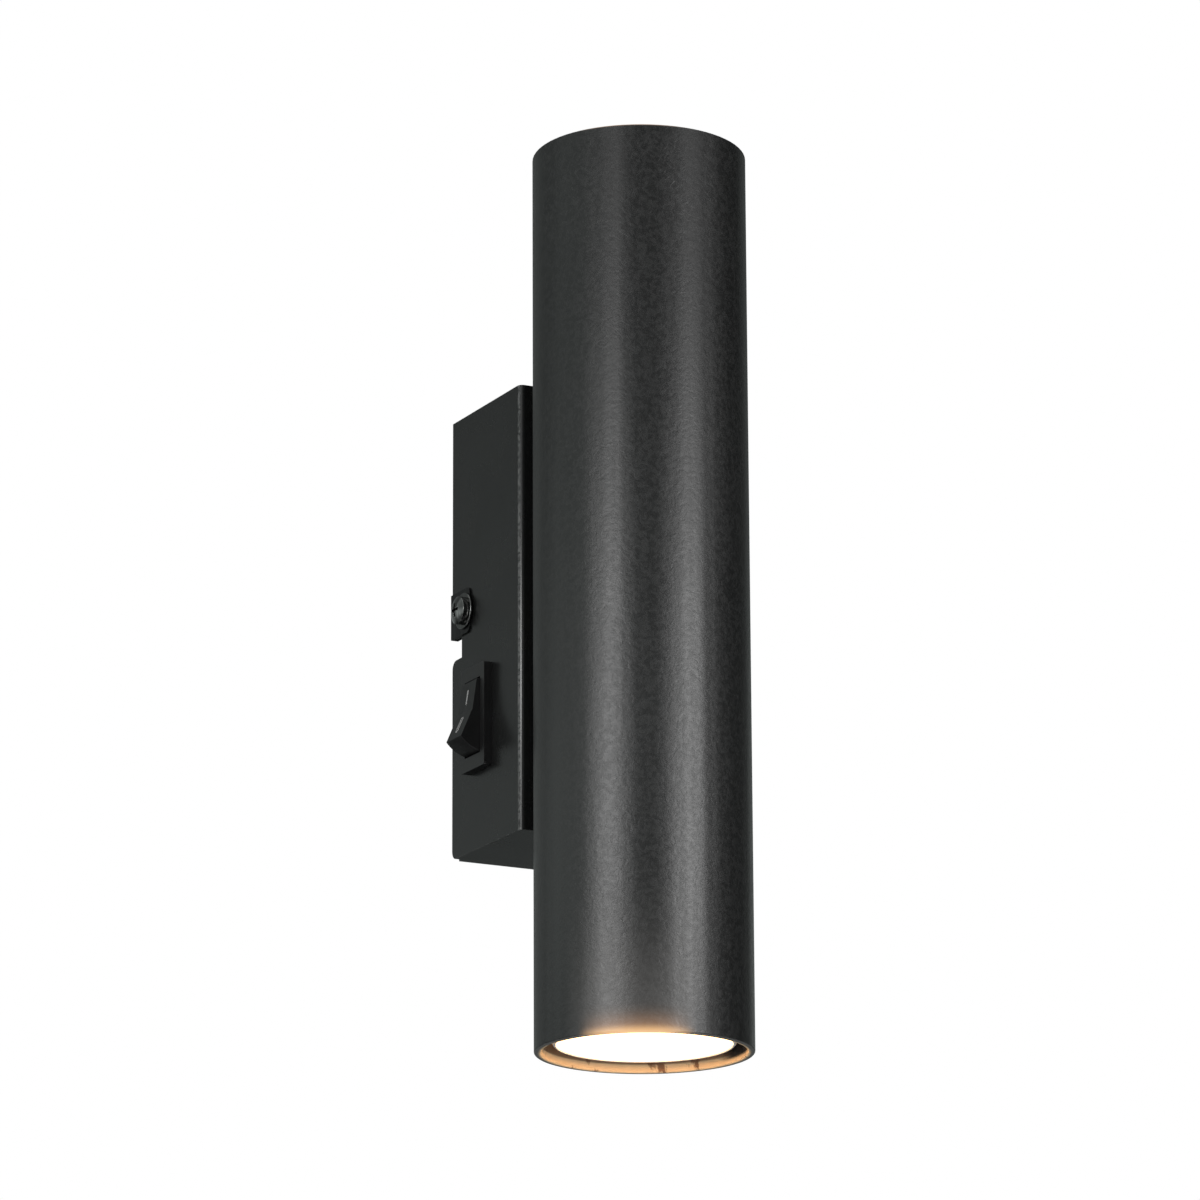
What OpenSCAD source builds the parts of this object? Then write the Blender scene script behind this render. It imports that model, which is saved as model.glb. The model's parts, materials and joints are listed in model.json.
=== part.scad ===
// Wall lamp: a round tube with one lamp shining up and one shining down, carried by a
// narrow sheet metal box that hangs on a wall bracket and holds a rocker switch.
// X runs to the right, Y runs into the wall and Z runs up. The wall is the plane y = 0,
// and the origin is the middle of the two wall screw slots.

/* [Lamp tube] */
// Outside diameter of the tube
tube_od = 60; // [58:0.5:66]
// Wall of the tube
tube_wall = 2; // [1.5:0.1:2.4]
// Length of the tube
tube_len = 256; // [240:1:300]
// How far the middle of the tube lies below the middle of the box
tube_drop = 3.3; // [0:0.1:8]
// Edge break on both rims of the tube
rim_break = 0.3; // [0.1:0.1:0.6]

/* [Wall box] */
// Width of the box
box_w = 43; // [43:0.5:50]
// Height of the box
box_h = 129; // [126:0.5:150]
// Depth of the box, from the wall to its front
box_d = 43; // [40:0.5:55]
// Thickness of the folded steel sheet
sheet = 1.2; // [1:0.1:1.5]
// Outside radius of the two upright folds
bend_r = 1.6; // [1.6:0.1:2.5]
// Radius of the free corners at the open back
back_corner_r = 2.5; // [1:0.1:3]
// Height of the cable notch in the left side
notch_h = 6.3; // [5:0.1:8]
// Depth of the cable notch
notch_d = 6; // [5:0.1:8]

/* [Wall bracket] */
// Width of the bracket's back plate
bracket_w = 30; // [26:0.5:32]
// Height of the back plate
bracket_h = 104; // [98:1:120]
// Thickness of the bracket's steel
bracket_t = 1.5; // [1.2:0.1:2]
// Distance between the two wall screw slots
wall_screw_pitch = 80; // [70:1:84]
// Width of a wall screw slot
wall_slot_w = 4.5; // [4:0.1:5.5]
// Length of a wall screw slot, end to end
wall_slot_len = 10; // [8:0.5:12]
// Diameter of the hole for a cable from the wall
cable_hole_d = 16; // [12:0.5:18]
// Height of the cable hole's middle below the origin
cable_hole_drop = 16; // [14:0.5:20]
// Height of the two side ears
ear_h = 13; // [11:0.5:14]
// How far the ears reach out from the wall
ear_d = 15; // [14:0.5:18]

/* [Side fixing] */
// Height of the side screws above the middle of the box
side_screw_z = 6.4; // [5:0.1:12]
// Distance of the side screws from the wall
side_screw_y = 8.7; // [8:0.1:9.5]
// Height of the spring clip that wraps the edge of the side
clip_h = 13.2; // [13:0.1:16]
// Reach of the clip's outer leaf from the wall
clip_d = 12; // [11.8:0.1:14]
// Thickness of the clip's spring steel
clip_t = 0.5; // [0.4:0.1:0.8]
// Height of the threaded collar on the clip's inner leaf
clip_collar_h = 1.2; // [0.8:0.1:1.4]
// Diameter of the washer under a side screw
side_washer_d = 10.5; // [9:0.1:11]
// Thickness of the washer under a side screw
side_washer_t = 0.6; // [0.4:0.1:1]
// Height of the domed head of a side screw
side_head_h = 2.6; // [2:0.1:2.8]

/* [Screws] */
// Diameter of the larger screws, which hold the box and the tube
m4_d = 4; // [3.8:0.1:4.2]
// Head diameter of the larger screws
m4_head_d = 8; // [7.5:0.1:8.4]
// Length of the screws that hold the tube
tube_screw_len = 10; // [9.5:0.5:12]
// Length of the side screws
side_screw_len = 8; // [7:0.5:9]
// Diameter of the smaller screws, which hold the lampholders and the terminal block
m3_d = 3; // [2.8:0.1:3.1]
// Head diameter of the smaller screws
m3_head_d = 5.6; // [5:0.1:5.8]
// Height of the heads inside the lamp
head_h = 2.2; // [1.8:0.1:2.4]
// Play round a screw in a plain hole
hole_play = 0.4; // [0.2:0.1:0.5]

/* [Saddle between box and tube] */
// Least distance between the box and the tube
saddle_gap = 2; // [1.5:0.1:6]
// Width of the saddle
saddle_w = 20; // [18:0.5:24]
// Height of the saddle
saddle_h = 60; // [54:1:70]
// Distance between the two screws that hold the tube
tube_screw_pitch = 38; // [34:0.5:44]
// Outside diameter of the threaded bush that leads the wires into the tube
bush_od = 10; // [9:0.5:10.5]
// Bore of the bush
bush_bore = 7; // [7:0.1:7.4]
// Flange diameter of the bush
bush_flange_d = 14; // [13:0.5:15]
// Flange thickness of the bush
bush_flange_t = 1.5; // [1.2:0.1:2]
// Thickness of the bush's nut
bush_nut_t = 3; // [2.5:0.1:4]
// Width of the bush's nut across its flats
bush_nut_af = 14; // [13:0.5:15]

/* [Lamps] */
// Diameter of a reflector lamp at its face
lamp_d = 50; // [48:0.5:50.5]
// Diameter of the lamp's light window
lens_d = 48; // [44:0.5:48]
// Thickness of the light window
lens_t = 2; // [1.5:0.1:3]
// Length of a lamp from its face to the end of its base
lamp_h = 47; // [45:0.5:50]
// Height of the lamp's base
lamp_base_h = 11; // [9:0.5:13]
// Diameter of the lamp's base
lamp_base_d = 25; // [23:0.5:27]
// How far a lamp's face lies inside the rim of the tube
lamp_recess = 2.2; // [1:0.1:8]
// Distance between the lamp's two pins
pin_pitch = 10; // [9.8:0.1:10.2]
// Diameter of a pin's neck
pin_neck_d = 3; // [2.8:0.1:3.2]
// Length of a pin's neck
pin_neck_h = 3.5; // [3.3:0.1:3.8]
// Diameter of a pin's head
pin_head_d = 5; // [4.8:0.1:5.1]
// Height of a pin's head
pin_head_h = 3.5; // [3:0.1:3.8]
// Turn that unlocks a lamp, in degrees
lamp_twist = 20; // [15:1:24]

/* [Lampholders] */
// Height of a lampholder
holder_h = 17; // [16:0.5:20]
// Width of a lampholder
holder_w = 20; // [19:0.5:22]
// Length of a lampholder
holder_len = 34; // [33:0.5:36]
// Distance between the two screws of a lampholder
holder_screw_pitch = 24; // [23:0.5:25]
// Thickness of the ledge that locks the pins
holder_ledge = 2.8; // [2.5:0.1:3]
// Play round a pin in its slot
pin_play = 0.4; // [0.3:0.05:0.45]
// Width of the steel carrier inside the tube
carrier_w = 18; // [16:0.5:20]
// Thickness of the carrier
carrier_t = 1.5; // [1.2:0.1:2]

/* [Rocker switch] */
// Height of the switch above the middle of the box
switch_z = -27.2; // [-32:0.1:-26]
// Distance of the switch from the wall
switch_y = 18; // [17:0.1:24]
// Length of the bezel
bezel_len = 30; // [29:0.1:32]
// Width of the bezel
bezel_w = 14.8; // [14:0.1:16]
// How far the bezel stands proud of the box
bezel_t = 2.5; // [2:0.1:3]
// Length of the switch body behind the bezel
switch_body_len = 26.6; // [26:0.1:27.5]
// Width of the switch body
switch_body_w = 12.4; // [12.2:0.1:13]
// Depth of the switch body behind the face of the box
switch_body_d = 16; // [15.6:0.1:17]
// Radius of the rocker's round ends about its pivot
rocker_r = 10.8; // [10.4:0.1:11]
// Width of the rocker
rocker_w = 9.4; // [9:0.1:9.6]
// Height of the rocker's middle above its pivot
rocker_rise = 5; // [4.5:0.1:5.5]
// Slope of each half of the rocker's face, in degrees
rocker_slope = 7.5; // [5:0.5:9]
// Tilt of the rocker to either side, in degrees
rocker_tilt = 16; // [14:0.5:17]
// Tilt of the see-saw contact to either side, in degrees
contact_tilt = 7; // [5:0.5:8]
// Play between the rocker and its bezel on each side
rocker_play = 0.2; // [0.15:0.05:0.3]
// Diameter of the rocker's pivot pins
pivot_d = 2.6; // [2.2:0.1:2.8]

/* [Wiring] */
// Distance from one pole to the next
pole_pitch = 8; // [7.6:0.1:8]
// Length of a pole, from wire entry to wire entry
pole_len = 16; // [15:0.5:17]
// Height of the terminal block
block_h = 12; // [11.5:0.5:13]
// Outside diameter of a lead
lead_d = 2.2; // [1.8:0.1:2.3]
// Diameter of a lead's bare end
lead_core_d = 1; // [0.8:0.1:1.1]

/* [Hidden] */

$fn = 96;
// Gap between two faces that seat on each other
seat = 0.05;
// Overshoot of a cut past the face that it opens
past = 1;

// The tube and what it holds are placed from its axis and its middle
tube_r = tube_od / 2;
bore_r = tube_r - tube_wall;
axis_y = -(box_d + saddle_gap + tube_r);
tube_z = -tube_drop;
face_z = tube_len / 2 - lamp_recess;

// The carrier lies on two lines of the tube's bore, and its arms hold the lampholders
carrier_y = sqrt(bore_r * bore_r - carrier_w * carrier_w / 4) - seat;
lamp_gap = 0.3;
holder_z = face_z - lamp_h - lamp_gap;
arm_z = holder_z - holder_h - seat;
arm_reach = carrier_y + holder_len / 2;
pin_r = pin_pitch / 2;
slot_half = pin_neck_d / 2 + pin_play;
cave_half = pin_head_d / 2 + pin_play;
// Room behind the heads of the pins
pin_room = 0.1;
cave_end = pin_neck_h + pin_head_h - lamp_gap + pin_room;

// The side fixing is stacked outward and inward from the side of the box
side_x = box_w / 2;
inner_x = side_x - sheet;
clip_relief = clip_t + 2 * seat;
clip_inner_x = inner_x - seat - clip_t;
collar_x = clip_inner_x - clip_collar_h;
ear_x = collar_x - seat;
washer_x = side_x + seat + clip_t + seat;
side_head_x = washer_x + side_washer_t + seat;
notch_top = side_screw_z - clip_h / 2;
notch_low = notch_top - notch_h;

// The front plate of the box carries the tube, the terminal block and the earth stud
plate_y = -(box_d - sheet);
m4_r = m4_d / 2;
m3_r = m3_d / 2;
m4_hole_r = m4_r + hole_play / 2;
m3_hole_r = m3_r + hole_play / 2;
lock_t = 0.8;
lock_r = m4_head_d / 2;
bush_hole_r = bush_od / 2 + hole_play / 2;
bush_end_y = axis_y + carrier_y - carrier_t - bush_nut_t - 1;
boss_h = 2.4;
boss_r = 2.4;
// The terminal block stands just above the upper tube screw
pole_count = 4;
block_gap = 1.5;
block_len = pole_count * pole_pitch;
block_z = tube_screw_pitch / 2 + lock_r + block_gap + block_len / 2;
clamp_rise = 5.2;
clamp_y = plate_y + clamp_rise;
clamp_r = 2.3;
clamp_bore_r = 1.7;
block_screw_r = 1.3;
clamp_len = pole_len - 4;
pole_screw_x = pole_len / 2 - 4.6;
pole_screw_r = 1.3;
pole_screw_len = 5;
block_head_d = 5;
block_head_h = 1.6;
earth_x = 8;
earth_rise = 20;
earth_z = -box_h / 2 + earth_rise;
earth_foot_t = 0.6;
earth_stud_len = 9;
earth_washer_t = 0.8;
lug_t = 0.8;
lug_barrel_r = 1.7;
lug_reach = 6.5;
lug_barrel_len = 4;

// The switch is built about its pivot, with x pointing out of the box
chamber_half = 9.4;
chamber_w = 8;
chamber_x = 6.4;
bezel_open_len = 2 * (rocker_r + rocker_play);
bezel_open_w = rocker_w + 2 * rocker_play;
pivot_r = pivot_d / 2;
pivot_len = (switch_body_w - bezel_open_w) / 2 - 0.2;
plunger_r = 1.5;
plunger_end = 9.8;
plunger_len = 8.6;
boss_end = 6;
rocker_roof = 2;
boss_wall = 1.1;
contact_t = 0.6;
contact_w = 3.6;
contact_half = 6.6;
contact_x = plunger_end + 0.1;
contact_pivot_x = contact_x + contact_t;
blade_t = 0.8;
blade_w = 4.8;
blade_len = 8;
blade_end = switch_body_d + blade_len;
on_blade_z = 8;
connector_gap = 1;
connector_len = 7;
connector_barrel_len = 4;
connector_end = switch_body_d + connector_gap + connector_len + connector_barrel_len;
latch_len = 6;
latch_rise = 0.9;
latch_w = 7;
on_pad_x = contact_pivot_x + contact_half * tan(contact_tilt) + 0.1;

// Shapes that several parts share

// A flat rectangle with true round corners, about its middle
module round_rect(w, h, r) {
    square([w - 2 * r, h], center = true);
    square([w, h - 2 * r], center = true);
    for (x = [-1, 1], y = [-1, 1])
        translate([x * (w / 2 - r), y * (h / 2 - r)]) circle(r);
}

// A flat slot with round ends that runs along y, about its middle
module slot_shape(w, len) {
    square([w, len - w], center = true);
    for (y = [-1, 1]) translate([0, y * (len - w) / 2]) circle(w / 2);
}

// Turns a shape that stands on z so that it points along x, along y or against y
module to_x() { rotate([0, 90, 0]) children(); }
module to_y() { rotate([-90, 0, 0]) children(); }
module to_front() { rotate([90, 0, 0]) children(); }

// Repeats a shape on the left and mirrored on the right
module both_sides() {
    children();
    mirror([1, 0, 0]) children();
}

// Repeats a shape at two heights that lie a pitch apart
module pair_z(pitch) {
    for (s = [-1, 1]) translate([0, 0, s * pitch / 2]) children();
}

// Puts a shape on the axis of the tube, at the height of its middle
module on_tube_axis() { translate([0, axis_y, tube_z]) children(); }

// Puts a shape that faces up at the upper end, or turned over at the lower end
module at_lower_end() { on_tube_axis() rotate([180, 0, 0]) children(); }
module at_upper_end() { on_tube_axis() children(); }

// A screw whose head stands on z = 0 and whose shank runs down, with a cross recess
module cross_screw(d, len, head_d, head_height) {
    dome_r = head_d;
    recess_w = head_d / 9;
    recess_d = head_height * 0.6;
    difference() {
        union() {
            translate([0, 0, -len]) cylinder(d = d, h = len + 0.2);
            intersection() {
                cylinder(d = head_d, h = head_height);
                translate([0, 0, head_height - dome_r]) sphere(dome_r);
            }
        }
        for (turn = [0, 90]) rotate(turn)
            translate([0, 0, head_height]) cube([head_d / 2, recess_w, 2 * recess_d], center = true);
    }
}

// A ring that lies on z = 0
module ring(od, bore, t) {
    difference() {
        cylinder(d = od, h = t);
        translate([0, 0, -past]) cylinder(d = bore, h = t + 2 * past);
    }
}

// A block of folded sheet seen as a solid: its two upright edges at the front are round.
// It runs from y = back to y = -d.
module folded_block(w, d, h, r, back) {
    translate([0, 0, -h / 2]) linear_extrude(h) {
        translate([-w / 2, -d + r]) square([w, d - r + back]);
        translate([-w / 2 + r, -d]) square([w - 2 * r, d]);
        for (x = [-1, 1]) translate([x * (w / 2 - r), -d + r]) circle(r);
    }
}

// One lead: a tube swept along smooth curves through the points that are given
function mix_point(a, b, c, d, t) =
    0.5 * ((2 * b) + (c - a) * t + (2 * a - 5 * b + 4 * c - d) * t * t
        + (3 * b - a - 3 * c + d) * t * t * t);
function smooth_route(p, steps) = let (n = len(p)) [
    for (i = [0 : n - 2], s = [0 : steps - 1])
        mix_point(p[max(i - 1, 0)], p[i], p[i + 1], p[min(i + 2, n - 1)], s / steps),
    p[n - 1]
];
function unit(v) = v / norm(v);
function heading(p, i) = unit(p[min(i + 1, len(p) - 1)] - p[max(i - 1, 0)]);
function turned(side, to) = unit(side - (side * to) * to);
function side_list(p, i, last) = i == len(p) ? [] :
    let (side = turned(last, heading(p, i))) concat([side], side_list(p, i + 1, side));

module sweep(p, radii, first_side) {
    sides = 8;
    n = len(p);
    across = side_list(p, 0, first_side);
    rings = [
        for (i = [0 : n - 1])
            let (u = across[i], v = cross(heading(p, i), u))
                for (k = [0 : sides - 1])
                    p[i] + radii[i] * (cos(k * 360 / sides) * u + sin(k * 360 / sides) * v)
    ];
    walls = [
        for (i = [0 : n - 2], k = [0 : sides - 1])
            let (a = i * sides + k, b = i * sides + (k + 1) % sides)
                [a, b, b + sides, a + sides]
    ];
    start_cap = [[for (k = [sides - 1 : -1 : 0]) k]];
    end_cap = [[for (k = [0 : sides - 1]) (n - 1) * sides + k]];
    mirror_order = [for (f = concat(walls, start_cap, end_cap)) [for (k = [len(f) - 1 : -1 : 0]) f[k]]];
    polyhedron(points = rings, faces = mirror_order, convexity = 6);
}

// A lead with a bare core at both ends
module lead(points, core_a, core_b, first_side) {
    steps = 3;
    body = smooth_route(points, steps);
    n = len(body);
    a = unit(points[0] - points[1]);
    b = unit(points[len(points) - 1] - points[len(points) - 2]);
    core_r = lead_core_d / 2;
    route = concat([points[0] + core_a * a, points[0] + 0.02 * a], body,
        [points[len(points) - 1] + 0.02 * b, points[len(points) - 1] + core_b * b]);
    radii = concat([core_r, core_r], [for (i = [0 : n - 1]) lead_d / 2], [core_r, core_r]);
    sweep(route, radii, first_side);
}

// Lamp tube

module lamp_tube() {
    half = tube_len / 2;
    color([0.13, 0.14, 0.14]) on_tube_axis() difference() {
        rotate_extrude() polygon([
            [bore_r, -half + rim_break], [bore_r + rim_break, -half],
            [tube_r - rim_break, -half], [tube_r, -half + rim_break],
            [tube_r, half - rim_break], [tube_r - rim_break, half],
            [bore_r + rim_break, half], [bore_r, half - rim_break]
        ]);
        translate([0, 0, -tube_z]) {
            pair_z(tube_screw_pitch) to_y() cylinder(r = m4_hole_r, h = tube_r + past);
            to_y() cylinder(r = bush_hole_r, h = tube_r + past);
        }
    }
}

// Wall box

module switch_opening() {
    play = 0.2;
    translate([-side_x, -switch_y, switch_z])
        cube([6 * sheet, switch_body_w + play, switch_body_len + play], center = true);
}

// Rounds the corner of a side at the open back, below the given height and behind the wall
module back_corner_cut(z, up) {
    reach = sheet + 2 * past;
    translate([-side_x - past, 0, z]) difference() {
        translate([0, -back_corner_r, up > 0 ? -past : -back_corner_r])
            cube([reach, back_corner_r + past, back_corner_r + past]);
        translate([-past, -back_corner_r, up * back_corner_r])
            to_x() cylinder(r = back_corner_r, h = reach + 2 * past);
    }
}

module side_cuts() {
    translate([-side_x - past, -side_screw_y, side_screw_z])
        to_x() cylinder(r = m4_hole_r, h = sheet + 2 * past);
    translate([-side_x - past, -clip_relief, side_screw_z - clip_h / 2 - seat])
        cube([sheet + 2 * past, clip_relief + past, clip_h + 2 * seat]);
    back_corner_cut(-box_h / 2, 1);
}

module wall_box() {
    color([0.13, 0.14, 0.14]) difference() {
        union() {
            difference() {
                folded_block(box_w, box_d, box_h, bend_r, 0);
                folded_block(box_w - 2 * sheet, box_d - sheet, box_h - 2 * sheet, bend_r - sheet, past);
            }
            translate([0, plate_y - sheet / 2, block_z]) to_y() cylinder(r = boss_r, h = boss_h + sheet / 2);
        }
        both_sides() side_cuts();
        switch_opening();
        translate([-side_x - past, -notch_d, notch_low])
            cube([sheet + 2 * past, notch_d + past, notch_top - notch_low + 0.2]);
        translate([0, 0, notch_low]) mirror([0, 0, 1]) back_corner_cut(0, 1);
        pair_z(tube_screw_pitch) translate([0, plate_y + past, 0])
            to_front() cylinder(r = m4_hole_r, h = sheet + 2 * past);
        translate([0, plate_y + past, 0]) to_front() cylinder(r = bush_hole_r, h = sheet + 2 * past);
        translate([0, plate_y, block_z]) to_y() cylinder(r = block_screw_r + seat, h = boss_h + past);
    }
}

// Wall bracket, with two ears bent forward

module wall_bracket() {
    fold_r = bracket_t + 1;
    color([0.72, 0.72, 0.7]) difference() {
        union() {
            to_front() linear_extrude(bracket_t) round_rect(bracket_w, bracket_h, 2);
            translate([0, -ear_d, side_screw_z - ear_h / 2]) linear_extrude(ear_h) difference() {
                round_rect(2 * ear_x, 2 * ear_d, fold_r);
                round_rect(2 * (ear_x - bracket_t), 2 * (ear_d - bracket_t), fold_r - bracket_t);
                translate([-ear_x - past, -ear_d - past]) square([2 * (ear_x + past), ear_d + past]);
            }
        }
        translate([0, past, 0]) to_front() linear_extrude(bracket_t + 2 * past)
            for (s = [-1, 1]) translate([0, s * wall_screw_pitch / 2]) slot_shape(wall_slot_w, wall_slot_len);
        translate([0, past, -cable_hole_drop])
            to_front() cylinder(d = cable_hole_d, h = bracket_t + 2 * past);
        translate([-side_x, -side_screw_y, side_screw_z]) to_x() cylinder(r = m4_hole_r, h = box_w);
    }
}

// Spring clips on the edges of the two sides, with their screws and washers

module clip_nut() {
    corner_r = 2;
    collar_wall = 1.2;
    difference() {
        union() {
            translate([-side_x - seat - clip_t, 0, side_screw_z]) to_x() linear_extrude(clip_t) {
                translate([0, -clip_d / 2 - seat / 2]) round_rect(clip_h, clip_d - seat, corner_r);
                translate([-clip_h / 2, -clip_d / 2]) square([clip_h, clip_d / 2 - seat]);
            }
            translate([-side_x - seat - clip_t, -clip_t - seat, side_screw_z - clip_h / 2])
                cube([sheet + 2 * (clip_t + seat), clip_t, clip_h]);
            translate([-inner_x + seat, -clip_d, side_screw_z - clip_h / 2])
                cube([clip_t, clip_d - seat, clip_h]);
            translate([-inner_x + seat + clip_t / 2, -side_screw_y, side_screw_z])
                to_x() cylinder(r = m4_r + collar_wall, h = clip_t / 2 + clip_collar_h);
        }
        translate([-side_x - clip_t - past, -side_screw_y, side_screw_z])
            to_x() cylinder(r = m4_r + seat, h = side_x - collar_x + clip_t + 2 * past);
    }
}

module clip_nuts() { color([0.16, 0.16, 0.16]) both_sides() clip_nut(); }

module side_washers() {
    color([0.25, 0.25, 0.26]) both_sides()
        translate([-washer_x, -side_screw_y, side_screw_z]) mirror([1, 0, 0]) to_x()
            ring(side_washer_d, m4_d + hole_play, side_washer_t);
}

module side_screws() {
    color([0.3, 0.3, 0.32]) both_sides()
        translate([-side_head_x, -side_screw_y, side_screw_z]) mirror([1, 0, 0]) to_x()
            cross_screw(m4_d, side_screw_len, m4_head_d, side_head_h);
}

// Saddle, tube screws and wire bush, which hold the tube on the box

module saddle() {
    color([0.1, 0.1, 0.1]) difference() {
        translate([-saddle_w / 2, axis_y, -saddle_h / 2])
            cube([saddle_w, tube_r + saddle_gap - seat, saddle_h]);
        translate([0, axis_y, -saddle_h / 2 - past]) cylinder(r = tube_r + seat, h = saddle_h + 2 * past);
        pair_z(tube_screw_pitch) translate([0, axis_y, 0]) to_y() cylinder(r = m4_hole_r, h = tube_od);
        translate([0, axis_y, 0]) to_y() cylinder(r = bush_hole_r, h = tube_od);
    }
}

module lock_washers() {
    color([0.75, 0.75, 0.73]) pair_z(tube_screw_pitch)
        translate([0, plate_y + seat, 0]) to_y() ring(2 * lock_r, m4_d + hole_play, lock_t);
}

module tube_screws() {
    color([0.75, 0.75, 0.73]) pair_z(tube_screw_pitch)
        translate([0, plate_y + lock_t + 2 * seat, 0]) to_y()
            cross_screw(m4_d, tube_screw_len, m4_head_d, head_h);
}

module wire_bush() {
    barrel = plate_y - bush_end_y;
    color([0.9, 0.9, 0.86]) translate([0, plate_y + seat, 0]) difference() {
        union() {
            to_y() cylinder(d = bush_flange_d, h = bush_flange_t);
            to_front() cylinder(d = bush_od, h = barrel);
        }
        translate([0, bush_flange_t + past, 0])
            to_front() cylinder(d = bush_bore, h = barrel + bush_flange_t + 2 * past);
    }
}

module bush_nut() {
    nut_y = axis_y + carrier_y - carrier_t - seat;
    color([0.9, 0.9, 0.86]) translate([0, nut_y, 0]) to_front() difference() {
        cylinder(d = bush_nut_af / cos(30), h = bush_nut_t, $fn = 6);
        translate([0, 0, -past]) cylinder(r = bush_od / 2 + seat, h = bush_nut_t + 2 * past);
    }
}

// Carrier: a steel strip with two arms, one for each lampholder

module holder_carrier() {
    fold_r = carrier_t + 1;
    window_w = carrier_w - 4;
    window_d = 12;
    color([0.72, 0.72, 0.7]) on_tube_axis() difference() {
        translate([-carrier_w / 2, carrier_y - arm_reach, 0]) rotate([90, 0, 90])
            linear_extrude(carrier_w) difference() {
                round_rect(2 * arm_reach, 2 * arm_z, fold_r);
                round_rect(2 * (arm_reach - carrier_t), 2 * (arm_z - carrier_t), fold_r - carrier_t);
                translate([-arm_reach - past, -arm_z - past]) square([arm_reach + past, 2 * (arm_z + past)]);
            }
        cube([window_w, window_d, 2 * arm_z + past], center = true);
        for (y = [-1, 1]) translate([0, y * holder_screw_pitch / 2, -arm_z - past])
            cylinder(r = m3_r + seat, h = 2 * (arm_z + past));
        translate([0, 0, -tube_z]) {
            pair_z(tube_screw_pitch) to_y() cylinder(r = m4_r + seat, h = tube_r);
            to_y() cylinder(r = bush_hole_r, h = tube_r);
        }
    }
}

// Lampholders: a keyhole slot for each pin, with a wider cave behind a ledge

// A slot bent round the axis, from the locked place to the turned place of a pin
module turn_slot(half_w, z, h) {
    thin = 0.1;
    for (turn = [0, 180]) rotate(turn) translate([0, 0, z]) {
        rotate_extrude(angle = lamp_twist)
            translate([pin_r - half_w + thin, 0]) square([2 * (half_w - thin), h]);
        for (a = [0, lamp_twist]) rotate(a) translate([pin_r, 0, 0]) cylinder(r = half_w, h = h);
    }
}

module lampholder() {
    pocket_w = 6;
    pocket_len = 9;
    head_deep = head_h + 0.8;
    translate([0, 0, holder_z]) difference() {
        translate([0, 0, -holder_h]) linear_extrude(holder_h) round_rect(holder_w, holder_len, 8);
        turn_slot(slot_half, -holder_ledge - past, holder_ledge + 2 * past);
        for (turn = [0, 180]) rotate(turn + lamp_twist) translate([pin_r, 0, -holder_ledge - past])
            cylinder(r = cave_half, h = holder_ledge + 2 * past);
        turn_slot(cave_half, -cave_end, cave_end - holder_ledge);
        for (s = [-1, 1]) {
            translate([s * pin_r - pocket_w / 2, -pocket_len / 2, -holder_h - past])
                cube([pocket_w, pocket_len, holder_h + past - cave_end + 0.1]);
            translate([0, s * holder_screw_pitch / 2, 0]) {
                translate([0, 0, -holder_h - past]) cylinder(r = m3_hole_r, h = holder_h + 2 * past);
                translate([0, 0, -head_deep]) cylinder(r = m3_head_d / 2 + 0.3, h = head_deep + past);
            }
        }
    }
}

module lower_lampholder() { color([0.93, 0.91, 0.86]) at_lower_end() lampholder(); }
module upper_lampholder() { color([0.93, 0.91, 0.86]) at_upper_end() lampholder(); }

module end_holder_screws() {
    screw_len = holder_h + carrier_t;
    for (s = [-1, 1]) translate([0, s * holder_screw_pitch / 2, holder_z - head_h - 0.8 + seat])
        cross_screw(m3_d, screw_len, m3_head_d, head_h);
}

module holder_screws() {
    color([0.75, 0.75, 0.73]) {
        at_lower_end() end_holder_screws();
        at_upper_end() end_holder_screws();
    }
}

// A contact: a leaf behind the pin, a leg down the pocket and a barrel for the lead
module holder_contact() {
    leaf_t = 0.5;
    leaf_w = 5.2;
    leaf_len = 7;
    leg_x = pin_r + leaf_w / 2 - leaf_t;
    barrel_r = 1.4;
    barrel_h = 4;
    leaf_z = holder_z - cave_end - leaf_t;
    barrel_z = holder_z - holder_h + 1;
    difference() {
        union() {
            translate([pin_r - leaf_w / 2, -leaf_len / 2, leaf_z]) cube([leaf_w, leaf_len, leaf_t]);
            translate([leg_x, -1.5, barrel_z]) cube([leaf_t, 3, leaf_z - barrel_z + leaf_t]);
            translate([pin_r + barrel_r / 2, -0.5, barrel_z])
                cube([leg_x - pin_r - barrel_r / 2 + leaf_t / 2, 1, barrel_h]);
            translate([pin_r, 0, barrel_z]) cylinder(r = barrel_r, h = barrel_h);
        }
        translate([pin_r, 0, barrel_z - past]) cylinder(r = lead_core_d / 2 + seat, h = barrel_h + 2 * past);
    }
}

module holder_contacts() {
    color([0.8, 0.65, 0.35]) for (turn = [0, 180]) {
        at_lower_end() rotate(turn) holder_contact();
        at_upper_end() rotate(turn) holder_contact();
    }
}

// Lamps

module lamp_body() {
    rim_h = 5;
    neck_r = 15;
    seat_r = lens_d / 2 + seat;
    low = -lamp_h + lamp_base_h;
    translate([0, 0, face_z]) rotate_extrude() polygon([
        [0, low], [neck_r, low], [neck_r, low + 6], [neck_r + 4.5, low + 16], [lamp_d / 2 - 1.4, -rim_h - 4],
        [lamp_d / 2, -rim_h], [lamp_d / 2, -0.6], [lamp_d / 2 - 0.6, 0], [seat_r, 0],
        [seat_r, -lens_t - seat], [0, -lens_t - seat]
    ]);
}

module lamp_window() {
    edge = 0.4;
    translate([0, 0, face_z]) rotate_extrude() polygon([
        [0, -lens_t], [lens_d / 2, -lens_t], [lens_d / 2, -0.2 - edge], [lens_d / 2 - edge, -0.2], [0, -0.2]
    ]);
}

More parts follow.
